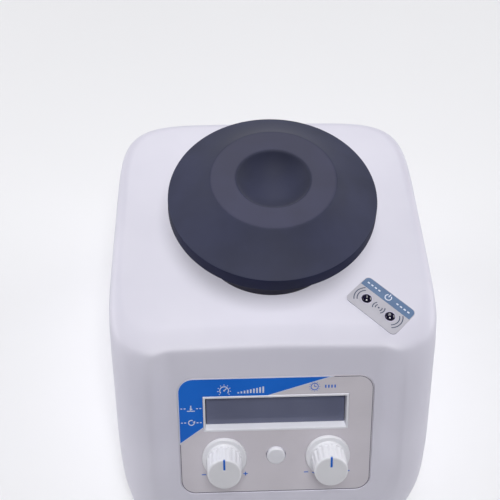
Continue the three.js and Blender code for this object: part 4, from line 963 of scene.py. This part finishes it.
def makeSensor():
    middle = middleOf("sensor_plate")
    place = Matrix.Translation((middle.x, middle.y, 0)) @ Matrix.Rotation(radians(sensor["turn"]), 4, "Z")
    surface = (deck + sensor["thickness"] * mm) / mm
    lenses = []
    for node in ("sensor_lens_1", "sensor_lens_2"):
        spot = place.inverted() @ middleOf(node)
        lenses.append((node, spot.x / mm, spot.y / mm))
    plate = blockPiece("sensor_face", sensor["length"] * mm, sensor["width"] * mm, deck, surface * mm,
                       corner=sensor["corner"] * mm, steps=10)
    cutAway(plate, [rodPiece("cutter", housing["lensHole"] * mm, deck - mm, deck + 2 * mm, x * mm, y * mm)
                    for _, x, y in lenses])
    soften(plate, sensor["softEdge"])
    dress(settle(plate, place), "sensor", "body", "sensor", "sensor_plate")

    inset = sensor["bandInset"]
    band = blockPiece("sensor_band", (sensor["length"] - 2 * inset) * mm, (sensor["width"] - 2 * inset) * mm,
                      surface * mm, surface * mm + ink, corner=(sensor["corner"] - inset) * mm, steps=10)
    openUp(band, everything=True)
    bpy.ops.mesh.bisect(plane_co=(0, sensor["bandFoot"] * mm, 0), plane_no=(0, -1, 0), use_fill=True,
                        clear_outer=True, threshold=1e-7)
    closeOutward()
    dress(settle(band, place), "sensorBand", "body", "sensor")

    row, onBand = sensor["signRow"], surface + ink / mm
    pale = [barMark(side * (5.6 + i * 2.2), row, 1.2, 0.75, low=onBand) for i in range(4) for side in (-1, 1)]
    pale += [arcMark(0, row, 1.6, 0.5, 125, 415, low=onBand), barMark(0, row + 1.2, 2.0, 0.5, 90, low=onBand)]
    dark = [discMark(sensor["middle"], lenses[0][2], 0.45, low=surface)]
    rings = []
    for (node, x, y), side in zip(lenses, (-1, 1)):
        heading = 90 - side * 90
        for middle, reaches, spread in ((x, sensor["arcs"], sensor["arcSpread"]),
                                        (sensor["middle"], sensor["middleArcs"], sensor["middleSpread"])):
            dark += [arcMark(middle, y, reach, sensor["arcWidth"], heading - spread, heading + spread, low=surface)
                     for reach in reaches]
        # Each lens has a thin pale ring round it: a painted highlight on the edge of its hole.
        rings.append(arcMark(x, y, sensor["ring"], 0.35, 0, 360, low=surface, steps=48))
        makeLens(node, place, x, y)
    settleAll(pale, "sensor_signs_pale", place, "printPale", "sensor")
    settleAll(dark, "sensor_signs_dark", place, "sensorInk", "sensor")
    settleAll(rings, "sensor_ring_highlights", place, "sensorRingHighlight", "sensor")


def makeLens(node, place, x, y):
    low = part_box(node)[0].z / mm
    top = deck / mm + sensor["lensProud"]
    radius, dome = sensor["lens"], sensor["lens"] * sensor["lensDome"]
    flange = radius + sensor["lensFlange"]
    profile = [(pole, low), (flange, low), (flange, low + 1), (radius, low + 1)]
    profile += [(radius * cos(i * pi / 24), top - dome + dome * sin(i * pi / 24)) for i in range(12)]
    lens = turnedPiece(f"{node}_dome", profile + [(pole, top)], x * mm, y * mm, sides=64)
    dress(settle(lens, place), "lens", "body", "lens", node)


makeSensor()
print("sensor plate")


# Back wall: power inlet with its contacts and fuse drawer, and the power switch

rear = {"inletEdge": 0.4, "drawerEdge": 0.3, "switchEdge": 0.35, "rockerEdge": 0.3, "pinEdge": 0.5,
        "pinPitch": 7, "pinDrop": 2, "socketRise": 6.6, "pinWidth": 2.06, "pinLength": 4.06, "pinFloor": -14.2,
        "pinTop": -3.17, "rockerTilt": 10, "rockerHalf": 7.4, "rockerRise": 2.6, "rockerSeat": 0.4}


def makeRear():
    softCopy("power_inlet", "inlet_body", "black", "body", rear["inletEdge"])
    softCopy("fuse_drawer", "fuse_carrier", "black", "fuse_holder", rear["drawerEdge"])
    middleX, _ = middleIn(backPlace, "power_inlet")
    pins = []
    for side in (-1, 0, 1):
        y = rear["socketRise"] + (-rear["pinDrop"] if side else rear["pinDrop"])
        width, length, low, high = (rear[key] * mm for key in ("pinWidth", "pinLength", "pinFloor", "pinTop"))
        pin = blockPiece("pin", width, length, low, high, middleX + side * rear["pinPitch"] * mm, y * mm)
        pins.append(soften(pin, rear["pinEdge"]))
    settleAll(pins, "inlet_contacts", backPlace, "zinc", "black")

    softCopy("power_switch_body", "switch_body", "black", "body", rear["switchEdge"])
    softCopy("power_rocker", "rocker_cap", "black", "rocker", rear["rockerEdge"])
    middleX, _ = middleIn(backPlace, "power_switch_body")
    tilt = radians(rear["rockerTilt"])
    seat = backPlace @ Matrix.Translation((middleX, 0, rear["rockerSeat"] * mm)) @ Matrix.Rotation(tilt, 4, "X")
    facet = rear["rockerRise"] - rear["rockerHalf"] * tan(tilt) / 2
    marks = []
    for side, made in ((1, barMark(0, 0, 3.2, 0.7, 90)), (-1, arcMark(0, 0, 1.35, 0.6, 0, 360, steps=40))):
        marks.append(settle(made, seat @ shift(0, side * rear["rockerHalf"] / 2, facet)
                            @ Matrix.Rotation(side * tilt, 4, "X")))
    dress(joinAll(marks, "rocker_marks"), "white", "rocker", "black")


makeRear()
print("back wall")


# Feet, base plate and screws. A screw's sizes are its shank's radius, its head's radius and height, its length.

screws = {"recess": 0.7, "slot": 0.55, "softEdge": 0.06}
feet = {"screw": (2, 4, 2.4, 22), "screwSeat": 4, "plateEdge": 0.3, "profile": [
    (2.2, 4), (5, 4), (5, 0.5), (5.5, 0), (6.0, 0), (6.15, 0.35), (6.55, 0.35), (6.7, 0), (7.2, 0), (7.35, 0.35),
    (7.75, 0.35), (7.9, 0), (8.1, 0.1), (8.6, 0.45), (8.9, 1.2), (9, 2.2), (9, 7.6), (8.7, 8), (2.2, 8), (2.2, 4)]}
hiddenScrews = {
    "clamp_screws": {"through": "boot_clamp_ring", "fromBelow": True, "body": "body", "count": 3, "start": -30,
                     "reach": 42.9, "sizes": (1.5, 2.7, 1.6, 6.2)},
    "motor_screws": {"through": "motor_plate", "fromBelow": False, "body": "carriage", "count": 4, "start": 45,
                     "reach": 22, "sizes": (1.9, 3.2, 1.4, 6.6)},
}


# A pan-headed screw with a cross recess, its head's seat at zero and its shank upwards.
def screwPiece(shank, wide, high, length):
    profile = [(pole, -high), (wide * 0.55, -high), (wide * 0.8, -high * 0.86), (wide * 0.95, -high * 0.5),
               (wide, -high * 0.15), (wide, 0), (shank, 0), (shank, length - shank * 0.4), (shank * 0.5, length),
               (pole, length)]
    piece = turnedPiece("screw", profile, sides=48)
    slots = [blockPiece("cutter", wide * 1.1 * mm, screws["slot"] * mm, -(high + 1) * mm,
                        -high * (1 - screws["recess"]) * mm) for _ in range(2)]
    settle(slots[1], Matrix.Rotation(pi / 2, 4, "Z"))
    cutAway(piece, slots)
    return soften(piece, screws["softEdge"], 2, 40)


def makeFeet():
    foot = turnedPiece("foot", feet["profile"], sides=72)
    screw = screwPiece(*feet["screw"])
    for number in (1, 2, 3, 4):
        x, y, _ = middleOf(f"foot_{number}")
        pad = settle(ownCopy(foot, f"rubber_foot_{number}"), Matrix.Translation((x, y, 0)))
        dress(pad, "foot", "body", "foot", f"foot_{number}")
        seat = Matrix.Translation((x, y, feet["screwSeat"] * mm))
        fastener = settle(ownCopy(screw, f"foot_fastener_{number}"), seat)
        dress(fastener, "zinc", "body", "zinc", f"foot_screw_{number}")
    bpy.data.objects.remove(foot)
    bpy.data.objects.remove(screw)
    softCopy("base_plate", "base_sheet", "base", "body", feet["plateEdge"], 2)


# Screws inside: three from below through the boot's clamp ring, and four from above into the motor.
def makeHiddenScrews():
    for name, group in hiddenScrews.items():
        low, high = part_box(group["through"])
        seat, tip = (low.z, 0) if group["fromBelow"] else (high.z, pi)
        made = []
        for i in range(group["count"]):
            turn = radians(group["start"] + 360 * i / group["count"])
            x, y = group["reach"] * cos(turn) * mm, group["reach"] * sin(turn) * mm
            place = Matrix.Translation((motorAxis.x + x, motorAxis.y + y, seat)) @ Matrix.Rotation(tip, 4, "X")
            made.append(settle(screwPiece(*group["sizes"]), place))
        dress(joinAll(made, name), "zinc", group["body"], "zinc")


makeFeet()
makeHiddenScrews()
print("feet and screws")


# Studio: a pale floor, a soft light high in front, a fill from behind that throws no shadow, one low light
# on either side and a faint even sky

studio = {"floor": 8, "sky": (252, 252, 255), "skyStrength": 0.04, "aim": (0, 0, 0.08), "lights": [
    {"from": (0, -0.38, 1.06), "size": 0.38, "power": 5.9},
    {"from": (0, 1.84, 2.28), "size": 2.0, "power": 43, "shadow": False},
    {"from": (-1.38, 0.3, 0.47), "size": 0.8, "power": 7.8},
    {"from": (1.38, 0.3, 0.47), "size": 0.8, "power": 7.4},
], "paper": {"dark": (240, 240, 243), "light": (242, 242, 245), "patch": 400, "grain": 2, "relief": 0.02,
             "rough": (0.8, 0.9), "shine": 0.2}}


def makeStudio():
    letGo()
    bpy.ops.mesh.primitive_plane_add(size=studio["floor"])
    floor = named("floor")
    floor.data.materials.append(newFinish("floorPaper", studio["paper"]))
    world = bpy.data.worlds.new("sky")
    world.use_nodes = True
    background = world.node_tree.nodes["Background"]
    background.inputs["Color"].default_value = tone(studio["sky"])
    background.inputs["Strength"].default_value = studio["skyStrength"]
    scene.world = world
    for light in studio["lights"]:
        data = bpy.data.lights.new("softLight", "AREA")
        data.size, data.energy, data.use_shadow = light["size"], light["power"], light.get("shadow", True)
        lamp = bpy.data.objects.new("softLight", data)
        scene.collection.objects.link(lamp)
        lamp.location = light["from"]
        lamp.rotation_euler = (Vector(studio["aim"]) - lamp.location).to_track_quat("-Z", "Y").to_euler()


makeStudio()

print("studio")
